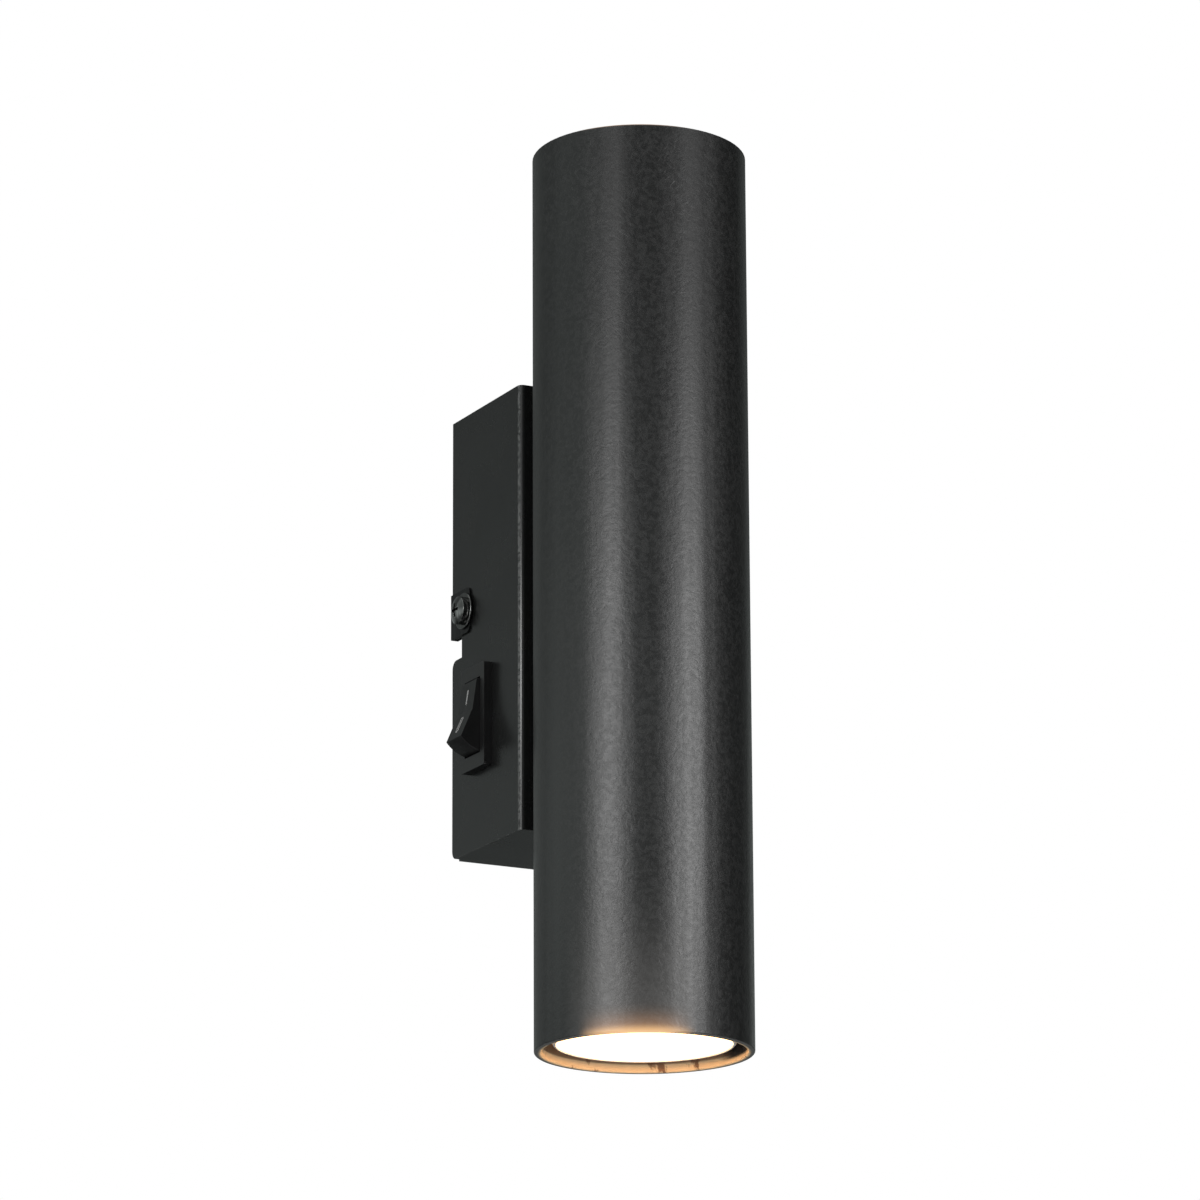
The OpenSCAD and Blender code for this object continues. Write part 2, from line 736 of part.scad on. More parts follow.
module lamp_base() {
    base_r = lamp_base_d / 2;
    translate([0, 0, face_z - lamp_h]) difference() {
        rotate_extrude() polygon([
            [0, 0], [base_r - 1, 0], [base_r, 1], [base_r, 5],
            [base_r + 1.5, lamp_base_h - seat], [0, lamp_base_h - seat]
        ]);
        for (s = [-1, 1]) translate([s * pin_r, 0, -past]) cylinder(d = pin_neck_d, h = 3 + past);
    }
}

module lamp_pins() {
    root = 2.9;
    for (s = [-1, 1]) translate([s * pin_r, 0, face_z - lamp_h]) {
        translate([0, 0, -pin_neck_h - 0.1]) cylinder(d = pin_neck_d - 2 * seat, h = pin_neck_h + root);
        translate([0, 0, -pin_neck_h - pin_head_h]) cylinder(d = pin_head_d, h = pin_head_h);
    }
}

module lower_lamp_body() { color([0.9, 0.9, 0.88]) at_lower_end() lamp_body(); }
module lower_lamp_window() { color([1, 0.96, 0.86]) at_lower_end() lamp_window(); }
module lower_lamp_base() { color([0.9, 0.9, 0.88]) at_lower_end() lamp_base(); }
module lower_lamp_pins() { color([0.8, 0.8, 0.78]) at_lower_end() lamp_pins(); }
module upper_lamp_body() { color([0.9, 0.9, 0.88]) at_upper_end() lamp_body(); }
module upper_lamp_window() { color([1, 0.96, 0.86]) at_upper_end() lamp_window(); }
module upper_lamp_base() { color([0.9, 0.9, 0.88]) at_upper_end() lamp_base(); }
module upper_lamp_pins() { color([0.8, 0.8, 0.78]) at_upper_end() lamp_pins(); }

// Rocker switch, built about its pivot with x pointing out of the box

module at_switch() {
    translate([-side_x, -switch_y, switch_z]) mirror([1, 0, 0]) children();
}

module from_inside(x) { translate([-x, 0, 0]) children(); }

// A wedge on an end of the body that snaps in behind the sheet
module housing_latch() {
    near = -sheet - seat;
    foot_z = switch_body_len / 2 - 0.5;
    top_z = switch_body_len / 2 + latch_rise;
    to_front() linear_extrude(latch_w, center = true)
        polygon([[near, foot_z], [near, top_z], [near - 0.6, top_z], [near - latch_len, foot_z]]);
}

module switch_housing() {
    back_wall = 2;
    color([0.09, 0.09, 0.09]) at_switch() difference() {
        union() {
            translate([seat, 0, 0]) to_x() linear_extrude(bezel_t) round_rect(bezel_len, bezel_w, 0.8);
            translate([(bezel_t - switch_body_d) / 2, 0, 0])
                cube([switch_body_d + bezel_t - 2 * seat, switch_body_w, switch_body_len], center = true);
            for (s = [0, 1]) mirror([0, 0, s]) housing_latch();
        }
        from_inside(chamber_x) translate([0, -bezel_open_w / 2, -bezel_open_len / 2])
            cube([chamber_x + bezel_t + past, bezel_open_w, bezel_open_len]);
        from_inside(switch_body_d - back_wall) translate([0, -chamber_w / 2, -chamber_half])
            cube([switch_body_d - back_wall, chamber_w, 2 * chamber_half]);
        translate([0, -bezel_open_w / 2 - pivot_len - seat, 0])
            to_y() cylinder(r = pivot_r + seat, h = bezel_open_w + 2 * pivot_len + 2 * seat);
        for (z = [0, -on_blade_z]) from_inside(switch_body_d + past)
            translate([0, -blade_w / 2 - seat, z - blade_t / 2 - seat])
                cube([back_wall + 2 * past, blade_w + 2 * seat, blade_t + 2 * seat]);
    }
}

module tilted() { rotate([0, -rocker_tilt, 0]) children(); }

module switch_rocker() {
    skirt_x = 2.5;
    wall = 1.2;
    pocket_half = rocker_r - 3.2;
    pocket_w = rocker_w - 2 * wall;
    tip_x = rocker_rise + (rocker_r + past) * tan(rocker_slope);
    color([0.09, 0.09, 0.09]) at_switch() tilted() difference() {
        union() {
            difference() {
                to_front() linear_extrude(rocker_w, center = true) intersection() {
                    circle(rocker_r);
                    polygon([
                        [-skirt_x, -rocker_r - past], [tip_x, -rocker_r - past], [rocker_rise, 0],
                        [tip_x, rocker_r + past], [-skirt_x, rocker_r + past]
                    ]);
                }
                translate([-skirt_x - past, -pocket_w / 2, -pocket_half])
                    cube([skirt_x + past + rocker_rise - rocker_roof, pocket_w, 2 * pocket_half]);
            }
            from_inside(boss_end)
                to_x() cylinder(r = plunger_r + boss_wall, h = boss_end + rocker_rise - rocker_roof / 2);
            translate([0, -bezel_open_w / 2 - pivot_len, 0]) {
                to_y() cylinder(r = pivot_r, h = pivot_len + rocker_play + 0.4);
                translate([0, bezel_open_w + pivot_len - rocker_play - 0.4, 0])
                    to_y() cylinder(r = pivot_r, h = pivot_len + rocker_play + 0.4);
            }
        }
        from_inside(boss_end + past)
            to_x() cylinder(r = plunger_r + seat, h = boss_end + past + rocker_rise - rocker_roof);
    }
}

module switch_plunger() {
    color([0.9, 0.88, 0.8]) at_switch() tilted() from_inside(plunger_end) union() {
        translate([plunger_r, 0, 0]) sphere(plunger_r);
        translate([plunger_r, 0, 0]) to_x() cylinder(r = plunger_r, h = plunger_len - plunger_r);
    }
}

// A coil spring in the rocker's boss, pressing on the plunger
module switch_spring() {
    turns = 4;
    per_turn = 10;
    wire_r = 0.2;
    coil_r = plunger_r - wire_r - 0.1;
    low = -plunger_end + plunger_len + wire_r + seat;
    high = rocker_rise - rocker_roof - wire_r - seat;
    route = [
        for (i = [0 : turns * per_turn])
            [low + (high - low) * i / (turns * per_turn),
                coil_r * cos(i * 360 / per_turn), coil_r * sin(i * 360 / per_turn)]
    ];
    color([0.8, 0.8, 0.78]) at_switch() tilted()
        sweep(route, [for (p = route) wire_r], [0, 1, 0]);
}

// See-saw contact, tilted the other way, with a silver button at the end that closes
module switch_contact() {
    button_r = 1.2;
    color([0.8, 0.65, 0.35]) at_switch() from_inside(contact_pivot_x) rotate([0, contact_tilt, 0]) {
        translate([0, -contact_w / 2, -contact_half]) cube([contact_t, contact_w, 2 * contact_half]);
        translate([0.3, 0, -contact_half + button_r]) rotate([0, -90, 0]) cylinder(r = button_r, h = 0.5);
    }
}

module switch_terminals() {
    common_top = contact_pivot_x + 0.12;
    pad_t = 0.6;
    pad_x = on_pad_x + 0.25;
    color([0.8, 0.8, 0.78]) at_switch() {
        from_inside(blade_end) translate([0, -blade_w / 2, -blade_t / 2])
            cube([blade_end - common_top, blade_w, blade_t]);
        from_inside(blade_end) translate([0, -blade_w / 2, -on_blade_z - blade_t / 2])
            cube([blade_end - pad_x - pad_t, blade_w, blade_t]);
        from_inside(pad_x + pad_t) translate([0, -contact_w / 2, -on_blade_z - blade_t / 2])
            cube([pad_t, contact_w, blade_t / 2 + 3.6]);
    }
}

// Push-on connectors on the two blades
module blade_connectors() {
    body_t = 2.4;
    body_w = 6.2;
    grip = blade_len - connector_gap;
    barrel_r = 1.1;
    color([0.85, 0.8, 0.6]) at_switch() for (z = [0, -on_blade_z]) translate([0, 0, z])
        from_inside(switch_body_d + connector_gap + connector_len) difference() {
            union() {
                translate([0, -body_w / 2, -body_t / 2]) cube([connector_len, body_w, body_t]);
                translate([-connector_barrel_len, 0, 0])
                    to_x() cylinder(r = barrel_r, h = connector_barrel_len + 0.2);
            }
            translate([connector_len - grip, -blade_w / 2 - seat, -blade_t / 2 - seat])
                cube([grip + past, blade_w + 2 * seat, blade_t + 2 * seat]);
            translate([-connector_barrel_len - past, 0, 0])
                to_x() cylinder(r = lead_core_d / 2 + seat, h = connector_barrel_len);
        }
}

// Terminal block on the front plate, with its poles one above the other

function pole_z(i) = block_z + (i - (pole_count - 1) / 2) * pole_pitch;

module terminal_block() {
    base_h = 3;
    base_w = 8;
    lip = 0.3;
    body_w = pole_pitch - 0.8;
    tower_r = 2.6;
    color([0.88, 0.88, 0.84]) difference() {
        union() {
            translate([-base_w / 2, plate_y + seat, block_z - block_len / 2])
                cube([base_w, base_h, block_len]);
            for (i = [0 : pole_count - 1]) translate([0, 0, pole_z(i)]) {
                translate([-pole_len / 2, plate_y + seat, -body_w / 2])
                    cube([pole_len, clamp_y - plate_y + clamp_r, body_w]);
                for (s = [-1, 1]) translate([s * pole_screw_x, clamp_y, 0])
                    to_y() cylinder(r = tower_r, h = plate_y + block_h - clamp_y);
            }
        }
        for (i = [0 : pole_count - 1]) translate([0, clamp_y, pole_z(i)]) {
            translate([-clamp_len / 2 - seat, 0, 0])
                to_x() cylinder(r = clamp_r + seat, h = clamp_len + 2 * seat);
            translate([-pole_len, 0, 0]) to_x() cylinder(r = clamp_r - lip, h = 2 * pole_len);
            for (s = [-1, 1]) translate([s * pole_screw_x, 0, 0])
                to_y() cylinder(r = pole_screw_r + 0.3, h = block_h);
        }
        translate([0, plate_y, block_z]) {
            to_y() cylinder(r = boss_r + 0.2, h = boss_h + 0.2);
            to_y() cylinder(r = block_screw_r + 0.15, h = block_h + past);
        }
    }
}

module terminal_clamps() {
    color([0.8, 0.65, 0.35]) for (i = [0 : pole_count - 1])
        translate([-clamp_len / 2, clamp_y, pole_z(i)]) difference() {
            to_x() cylinder(r = clamp_r, h = clamp_len);
            translate([-past, 0, 0]) to_x() cylinder(r = clamp_bore_r, h = clamp_len + 2 * past);
            for (s = [-1, 1]) translate([clamp_len / 2 + s * pole_screw_x, 0, 0])
                to_y() cylinder(r = pole_screw_r + seat, h = clamp_r + past);
        }
}

module terminal_screws() {
    tip = clamp_bore_r;
    slot_w = 0.5;
    slot_d = 0.6;
    color([0.75, 0.75, 0.73]) for (i = [0 : pole_count - 1], s = [-1, 1])
        translate([s * pole_screw_x, clamp_y + tip, pole_z(i)]) to_y() difference() {
            cylinder(r = pole_screw_r, h = pole_screw_len);
            translate([0, 0, pole_screw_len])
                cube([slot_w, 2 * pole_screw_r + past, 2 * slot_d], center = true);
        }
}

module block_screw() {
    over_clamps = 0.6;
    above_plate = 0.4;
    head_y = clamp_y + clamp_r + over_clamps;
    color([0.75, 0.75, 0.73]) translate([0, head_y, block_z]) to_y()
        cross_screw(2 * block_screw_r, head_y - plate_y - above_plate, block_head_d, block_head_h);
}

// Earth connection: a stud welded to the front plate, a ring lug, a washer and a nut

module at_earth(y) { translate([earth_x, plate_y + y, earth_z]) to_y() rotate(180) children(); }

module earth_stud() {
    color([0.8, 0.65, 0.35]) at_earth(seat) {
        cylinder(d = m4_d + 2, h = earth_foot_t);
        cylinder(d = m4_d, h = earth_stud_len);
    }
}

module earth_lug() {
    lug_r = 4;
    neck_w = 3;
    color([0.8, 0.8, 0.78]) at_earth(earth_foot_t + 2 * seat) {
        ring(2 * lug_r, m4_d + 2 * seat, lug_t);
        difference() {
            union() {
                translate([-neck_w / 2, lug_r - 1, 0]) cube([neck_w, lug_reach - lug_r + 1.5, lug_t]);
                translate([0, lug_reach, lug_barrel_r]) to_y() cylinder(r = lug_barrel_r, h = lug_barrel_len);
            }
            translate([0, lug_reach - past, lug_barrel_r])
                to_y() cylinder(r = lead_core_d / 2 + seat, h = lug_barrel_len + 2 * past);
        }
    }
}

module earth_washer() {
    color([0.8, 0.65, 0.35]) at_earth(earth_foot_t + lug_t + 3 * seat)
        ring(2 * m4_d, m4_d + hole_play, earth_washer_t);
}

module earth_nut() {
    nut_af = 7;
    nut_h = 3.2;
    color([0.8, 0.65, 0.35]) at_earth(earth_foot_t + lug_t + earth_washer_t + 4 * seat) difference() {
        cylinder(d = nut_af / cos(30), h = nut_h, $fn = 6);
        translate([0, 0, -past]) cylinder(r = m4_r + seat, h = nut_h + 2 * past);
    }
}

// Leads. Each route is a short list of points chosen by hand.

// Where a lead enters the terminal block, and where it meets a connector of the switch
entry_x = pole_len / 2 + 0.2;
connector_x = -side_x + connector_end + 0.1;
// Lanes in which the leads run down beside the right side of the box, the first one outermost
lane_step = lead_d + 0.4;
lane_y = clamp_y + 0.8;
lane_drop = 5;
function lane_x(i) = inner_x - 0.7 - lead_d / 2 - i * lane_step;
function part_way(a, b, t) = a + (b - a) * t;

// From a pole on the right down its lane, and back to a connector at the height of low_z
module switch_lead(pole, lane, low_z) {
    x = lane_x(lane);
    top = pole_z(pole) - lane_drop;
    bend = 2.4;
    lead([
        [entry_x, clamp_y, pole_z(pole)], [part_way(entry_x, x, 0.5), clamp_y, pole_z(pole)],
        [x, lane_y, top], [x, lane_y, part_way(top, low_z, 0.35)],
        [x, part_way(lane_y, -switch_y, 0.15), part_way(top, low_z, 0.6)],
        [x, part_way(lane_y, -switch_y, 0.55), part_way(top, low_z, 0.85)],
        [x - bend, -switch_y, low_z], [connector_x + bend, -switch_y, low_z], [connector_x, -switch_y, low_z]
    ], 4, 3, [0, 0, 1]);
}

module live_lead() { color([0.45, 0.25, 0.12]) switch_lead(0, 2, switch_z); }
module switched_lead() { color([0.1, 0.1, 0.1]) switch_lead(2, 1, switch_z - on_blade_z); }

module earth_lead() {
    x = lane_x(0);
    lug_y = plate_y + earth_foot_t + 2 * seat + lug_barrel_r;
    lug_top = earth_z + lug_reach + lug_barrel_len + 0.3;
    top = pole_z(3) - lane_drop;
    bend = 6;
    color([0.35, 0.6, 0.2]) lead([
        [entry_x, clamp_y, pole_z(3)], [part_way(entry_x, x, 0.6), clamp_y, pole_z(3)], [x, lane_y, top],
        [x, lane_y, part_way(top, lug_top, 0.35)], [x, lane_y, part_way(top, lug_top, 0.6)],
        [x, part_way(lane_y, lug_y, 0.2), lug_top + 3 * bend],
        [x - 1.5, part_way(lane_y, lug_y, 0.4), lug_top + 2 * bend],
        [part_way(earth_x, x, 0.3), part_way(lane_y, lug_y, 0.8), lug_top + 0.8 * bend],
        [earth_x, lug_y, lug_top + 0.3 * bend], [earth_x, lug_y, lug_top]
    ], 4, 3, [0, 1, 0]);
}

// One lead of a lamp, from its pole on the left through a lane of the bush to the lampholder.
// The lead next to the plate takes the near lane, and the other one passes over it.
module lamp_lead(pole, over, lane_z, end) {
    y = clamp_y + (over ? 1.15 : -1.15);
    lane_x = over ? 1.35 : -1.35;
    out_x = lane_z > 0 ? -12.4 : -15;
    rise = over ? 1 : 0;
    turns_first = lane_z * end > 0;
    far_x = (turns_first ? 1 : -1) * sign(lane_x) * pin_r;
    end_z = tube_z + end * (holder_z - holder_h + 0.9);
    in_box = [
        [-entry_x, y, pole_z(pole)], [-entry_x - 2.4, y, pole_z(pole)], [out_x, y + 0.2, pole_z(pole) - 5],
        [out_x, y + 0.4, 18], [out_x + 1.4, y + 0.8, 8.5 + lane_z], [-6.6 + rise, y + 2, 1.2 + 1.8 * lane_z],
        [lane_x - 0.9, y + 1.4 + rise, 1.05 * lane_z], [lane_x, plate_y + 2.4 + 3 * rise, lane_z],
        [lane_x, plate_y - 2, lane_z], [lane_x, bush_end_y - 1, lane_z]
    ];
    run = end * (holder_z - holder_h);
    in_tube = turns_first ? [
        [lane_x * 1.2, part_way(bush_end_y, axis_y, 0.22), run * 0.065],
        [lane_x * 2.2, part_way(bush_end_y, axis_y, 0.48), run * 0.23],
        [far_x, part_way(bush_end_y, axis_y, 0.86), run * 0.49], [far_x, axis_y, run * 0.72],
        [far_x, axis_y, end_z]
    ] : [
        [lane_x * 0.9, part_way(bush_end_y, axis_y, 0.35), run * 0.006],
        [0, part_way(bush_end_y, axis_y, 0.5), run * 0.13],
        [far_x * 0.6, part_way(bush_end_y, axis_y, 0.76), run * 0.34], [far_x, axis_y, run * 0.65],
        [far_x, axis_y, end_z]
    ];
    lead(concat(in_box, in_tube), 3, 3, [0, 0, 1]);
}

module upper_lamp_leads() {
    color([0.95, 0.95, 0.92]) {
        lamp_lead(1, false, 1.35, 1);
        lamp_lead(2, false, -1.35, 1);
    }
}

module lower_lamp_leads() {
    color([0.95, 0.95, 0.92]) {
        lamp_lead(1, true, 1.35, -1);
        lamp_lead(2, true, -1.35, -1);
    }
}

lamp_tube();
wall_box();
wall_bracket();
clip_nuts();
side_screws();
side_washers();
saddle();
tube_screws();
lock_washers();
wire_bush();
bush_nut();
holder_carrier();
lower_lampholder();
upper_lampholder();
holder_screws();
holder_contacts();
lower_lamp_body();
lower_lamp_window();
lower_lamp_base();
lower_lamp_pins();
upper_lamp_body();
upper_lamp_window();
upper_lamp_base();
upper_lamp_pins();
switch_housing();
switch_rocker();
switch_plunger();
switch_spring();
switch_contact();
switch_terminals();
blade_connectors();
terminal_block();
terminal_clamps();
terminal_screws();
block_screw();
earth_stud();
earth_nut();
earth_washer();
earth_lug();
live_lead();
switched_lead();
upper_lamp_leads();
lower_lamp_leads();
earth_lead();
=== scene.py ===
# Wall lamp: finishes, printed marks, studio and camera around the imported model.
import json
import math

import bmesh
import bpy
from mathutils import Matrix, Vector


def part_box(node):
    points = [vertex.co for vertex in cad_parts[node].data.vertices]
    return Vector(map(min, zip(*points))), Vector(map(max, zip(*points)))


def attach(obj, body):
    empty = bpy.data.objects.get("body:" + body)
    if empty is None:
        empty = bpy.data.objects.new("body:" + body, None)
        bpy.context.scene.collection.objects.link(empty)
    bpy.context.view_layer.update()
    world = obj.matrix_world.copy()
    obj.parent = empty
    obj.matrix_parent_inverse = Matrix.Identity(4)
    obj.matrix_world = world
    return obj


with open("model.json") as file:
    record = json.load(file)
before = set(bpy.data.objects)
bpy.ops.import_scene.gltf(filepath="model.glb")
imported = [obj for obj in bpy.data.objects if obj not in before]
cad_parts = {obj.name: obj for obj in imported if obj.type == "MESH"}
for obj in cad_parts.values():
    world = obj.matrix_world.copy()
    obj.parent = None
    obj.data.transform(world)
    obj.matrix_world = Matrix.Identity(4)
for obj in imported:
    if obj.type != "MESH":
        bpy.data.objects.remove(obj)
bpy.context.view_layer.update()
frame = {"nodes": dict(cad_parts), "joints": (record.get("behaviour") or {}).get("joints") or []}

scene = bpy.context.scene
nodes_of_lamp = frame["nodes"]
MM = 0.001


# Camera: its place, and where it looks, in the frame of the lamp

CAMERA_PLACE_MM = (-747.18, -1488.13, -446.33)
CAMERA_AZIMUTH = 27.455
CAMERA_PITCH = 15.47
CAMERA_ROLL = -0.264
CAMERA_LENS = 180.07
CAMERA_SENSOR = 36.0


def camera_turn(azimuth, pitch, roll):
    """Rotation of a camera that looks along an azimuth, up by a pitch, turned by a roll, in degrees."""
    a, p, r = math.radians(azimuth), math.radians(pitch), math.radians(roll)
    ahead = Vector((math.sin(a) * math.cos(p), math.cos(a) * math.cos(p), math.sin(p)))
    level = Vector((math.cos(a), -math.sin(a), 0))
    upright = level.cross(ahead)
    right = level * math.cos(r) + upright * math.sin(r)
    up = upright * math.cos(r) - level * math.sin(r)
    return Matrix((right, up, -ahead)).transposed()


def add_camera():
    data = bpy.data.cameras.new("photo_camera")
    data.lens = CAMERA_LENS
    data.sensor_width = CAMERA_SENSOR
    data.clip_start = 0.05
    data.clip_end = 60
    camera = bpy.data.objects.new("photo_camera", data)
    turn = camera_turn(CAMERA_AZIMUTH, CAMERA_PITCH, CAMERA_ROLL)
    camera.matrix_world = Matrix.Translation(Vector(CAMERA_PLACE_MM) * MM) @ turn.to_4x4()
    scene.collection.objects.link(camera)
    scene.camera = camera


add_camera()
scene.view_settings.view_transform = "Standard"


# Node trees: short calls that add nodes and join them

# Places of the factor, both colours and the result among a mix node's sockets
MIX_COLOUR_INPUTS = (0, 6, 7)
MIX_COLOUR_OUTPUT = 2


class Tree:
    """A node tree of a material, a group or the world."""

    def __init__(self, tree):
        self.nodes = tree.nodes
        self.links = tree.links

    def add(self, kind, **settings):
        node = self.nodes.new(kind)
        for name, value in settings.items():
            setattr(node, name, value)
        return node

    def join(self, value, socket):
        """Joins another node's output to a socket, or gives the socket a fixed value."""
        if isinstance(value, bpy.types.NodeSocket):
            self.links.new(value, socket)
        else:
            socket.default_value = value

    def feed(self, node, **values):
        """Joins or sets a node's inputs by name."""
        for name, value in values.items():
            self.join(value, node.inputs[name.replace("_", " ")])
        return node

    def math(self, operation, *values):
        node = self.add("ShaderNodeMath", operation=operation)
        for value, socket in zip(values, node.inputs):
            self.join(value, socket)
        return node.outputs[0]

    def plus(self, a, b):
        return self.math("ADD", a, b)

    def times(self, first, *others):
        for other in others:
            first = self.math("MULTIPLY", first, other)
        return first

    def length(self, a, b):
        """Length of a flat vector, from its two parts."""
        return self.math("SQRT", self.plus(self.times(a, a), self.times(b, b)))

    def point(self):
        """Places on the lamp, in metres, that move with the piece."""
        return self.add("ShaderNodeTexCoord").outputs["Object"]

    def axes(self, vector):
        parts = self.add("ShaderNodeSeparateXYZ")
        self.join(vector, parts.inputs[0])
        return parts.outputs["X"], parts.outputs["Y"], parts.outputs["Z"]

    def stretched(self, vector, scale):
        mapping = self.add("ShaderNodeMapping")
        self.join(vector, mapping.inputs["Vector"])
        mapping.inputs["Scale"].default_value = scale
        return mapping.outputs[0]

    def noise(self, vector, scale, detail=3.0, roughness=0.5, distortion=0.0):
        node = self.add("ShaderNodeTexNoise")
        self.feed(node, Vector=vector, Scale=scale, Detail=detail, Roughness=roughness,
                  Distortion=distortion)
        return node.outputs["Fac"]

    def vector(self, x, y, z=0.0):
        node = self.add("ShaderNodeCombineXYZ")
        return self.feed(node, X=x, Y=y, Z=z).outputs[0]

    def turned(self, vector, angle, scale):
        """Turns flat coordinates about their third axis, in degrees, and then stretches them."""
        turn = self.add("ShaderNodeVectorRotate", rotation_type="Z_AXIS")
        self.feed(turn, Vector=vector, Angle=math.radians(angle))
        return self.stretched(turn.outputs[0], scale)

    def cells(self, vector, scale):
        """Distance to the nearest of many scattered points."""
        node = self.add("ShaderNodeTexVoronoi")
        return self.feed(node, Vector=vector, Scale=scale).outputs["Distance"]

    def window(self, value, low, high, to_low=0.0, to_high=1.0):
        """Maps low to high smoothly onto another span."""
        node = self.add("ShaderNodeMapRange", interpolation_type="SMOOTHSTEP")
        self.feed(node, Value=value, From_Min=low, From_Max=high, To_Min=to_low, To_Max=to_high)
        return node.outputs["Result"]

    def between(self, low, high, share):
        """Between two numbers, by a share that changes over the surface."""
        return self.plus(low, self.times(share, high - low))

    def mix(self, share, a, b):
        """Between two colours, by a share."""
        node = self.add("ShaderNodeMix", data_type="RGBA")
        for value, index in zip((share, a, b), MIX_COLOUR_INPUTS):
            self.join((*value, 1) if isinstance(value, tuple) else value, node.inputs[index])
        return node.outputs[MIX_COLOUR_OUTPUT]

    def either(self, share, a, b):
        """Between two shaders, by a share."""
        node = self.add("ShaderNodeMixShader")
        for value, socket in zip((share, a, b), node.inputs):
            self.join(value, socket)
        return node.outputs[0]

    def group(self, tree, **values):
        return self.feed(self.add("ShaderNodeGroup", node_tree=tree), **values).outputs


# Effects that several finishes share


def new_group(name, inputs, outputs):
    """A node group that takes numbers, each with its usual value, and gives numbers."""
    tree = bpy.data.node_groups.new(name, "ShaderNodeTree")
    for label, value in inputs.items():
        socket = tree.interface.new_socket(label, in_out="INPUT", socket_type="NodeSocketFloat")
        socket.default_value = value
    for label in outputs:
        tree.interface.new_socket(label, in_out="OUTPUT", socket_type="NodeSocketFloat")
    t = Tree(tree)
    return tree, t, t.add("NodeGroupInput").outputs, t.add("NodeGroupOutput").inputs


def powder_grain_group():
    """Orange peel and fine grain of sprayed and baked powder."""
    scales = {"Peel": 620.0, "Grain": 1150.0}
    tree, t, given, out = new_group("powder_grain", scales, ["Height", "Speckle"])
    place = t.point()
    peel = t.noise(place, given["Peel"], detail=2.0, roughness=0.55, distortion=0.4)
    grain = t.noise(place, given["Grain"], detail=2.0, roughness=0.6)
    t.join(t.plus(t.times(peel, 0.75), t.times(grain, 0.25)), out["Height"])
    t.join(t.window(t.plus(t.times(peel, 0.6), t.times(grain, 0.4)), 0.4, 0.6), out["Speckle"])
    return tree


def edge_mask_group():
    """Near sharp edges, broken up by noise: where an edge is rubbed, and where a painted highlight lies
    along an edge.
    """
    tree, t, given, out = new_group("edge_mask", {"Width": 0.5 * MM, "Break": 900.0}, ["Mask"])
    rounded = t.add("ShaderNodeBevel", samples=6)
    t.join(given["Width"], rounded.inputs["Radius"])
    turn = t.add("ShaderNodeVectorMath", operation="DOT_PRODUCT")
    t.join(rounded.outputs[0], turn.inputs[0])
    t.join(t.add("ShaderNodeNewGeometry").outputs["Normal"], turn.inputs[1])
    edge = t.window(turn.outputs["Value"], 0.995, 0.9)
    patch = t.window(t.noise(t.point(), given["Break"]), 0.38, 0.62)
    t.join(t.times(edge, patch), out["Mask"])
    return tree


def handling_group():
    """Soft clouds where hands, dust and cleaning have changed the gloss."""
    tree, t, given, out = new_group("handling", {"Cloud": 28.0, "Fine": 260.0}, ["Cloud", "Smear"])
    place = t.point()
    t.join(t.window(t.noise(place, given["Cloud"], detail=4.0), 0.35, 0.68), out["Cloud"])
    along = t.stretched(place, (1.0, 1.0, 0.25))
    smear = t.noise(along, given["Fine"], detail=4.0, roughness=0.65)
    t.join(t.window(smear, 0.45, 0.7), out["Smear"])
    return tree


def drawn_metal_group():
    """Rolling and drawing lines of sheet and wire, and fine pits."""
    scales = {"Lines": 2600.0, "Pits": 1800.0}
    tree, t, given, out = new_group("drawn_metal", scales, ["Height", "Streak"])
    place = t.point()
    lines = t.noise(t.stretched(place, (1.0, 1.0, 0.04)), given["Lines"], roughness=0.6)
    pits = t.window(t.cells(place, given["Pits"]), 0.0, 0.35)
    t.join(t.plus(t.times(lines, 0.7), t.times(pits, 0.3)), out["Height"])
    t.join(t.window(lines, 0.35, 0.65), out["Streak"])
    return tree


def moulded_group():
    """Spark-eroded skin of a moulded plastic."""
    scales = {"Skin": 3200.0, "Patches": 340.0}
    tree, t, given, out = new_group("moulded", scales, ["Height", "Mottle"])
    place = t.point()
    t.join(t.noise(place, given["Skin"], detail=2.0, roughness=0.7), out["Height"])
    t.join(t.window(t.noise(place, given["Patches"]), 0.35, 0.65), out["Mottle"])
    return tree


POWDER = powder_grain_group()
EDGE_MASK = edge_mask_group()
HANDLING = handling_group()
DRAWN = drawn_metal_group()
MOULDED = moulded_group()


# Finishes


def new_finish(name, **fixed):
    """A material with its shader's constant sockets set."""
    material = bpy.data.materials.new(name)
    material.use_nodes = True
    t = Tree(material.node_tree)
    shader = t.nodes["Principled BSDF"]
    t.feed(shader, **fixed)
    return material, t, shader


def bump(t, shader, height, depth, strength):
    """Relief of a real depth, in metres."""
    node = t.feed(t.add("ShaderNodeBump"), Height=height, Distance=depth, Strength=strength)
    t.join(node.outputs[0], shader.inputs["Normal"])


TUBE_LOW, TUBE_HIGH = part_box("lamp_tube")
TUBE_AXIS_Y = (TUBE_LOW.y + TUBE_HIGH.y) / 2
TUBE_R = (TUBE_HIGH.x - TUBE_LOW.x) / 2
TUBE_WALL = 2 * MM
LOWER_FACE_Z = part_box("lower_lamp_window")[0].z
UPPER_FACE_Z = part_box("upper_lamp_window")[1].z

TUBE_BLACK = ((0.0045, 0.0047, 0.0047), (0.0099, 0.0102, 0.0101))
BOX_BLACK = ((0.0048, 0.005, 0.005), (0.0062, 0.0065, 0.0064))
# Grey of rubbed coat, also given as the painted highlight along the box's folds
COAT_RUB_AND_HIGHLIGHT = (0.11, 0.112, 0.11)
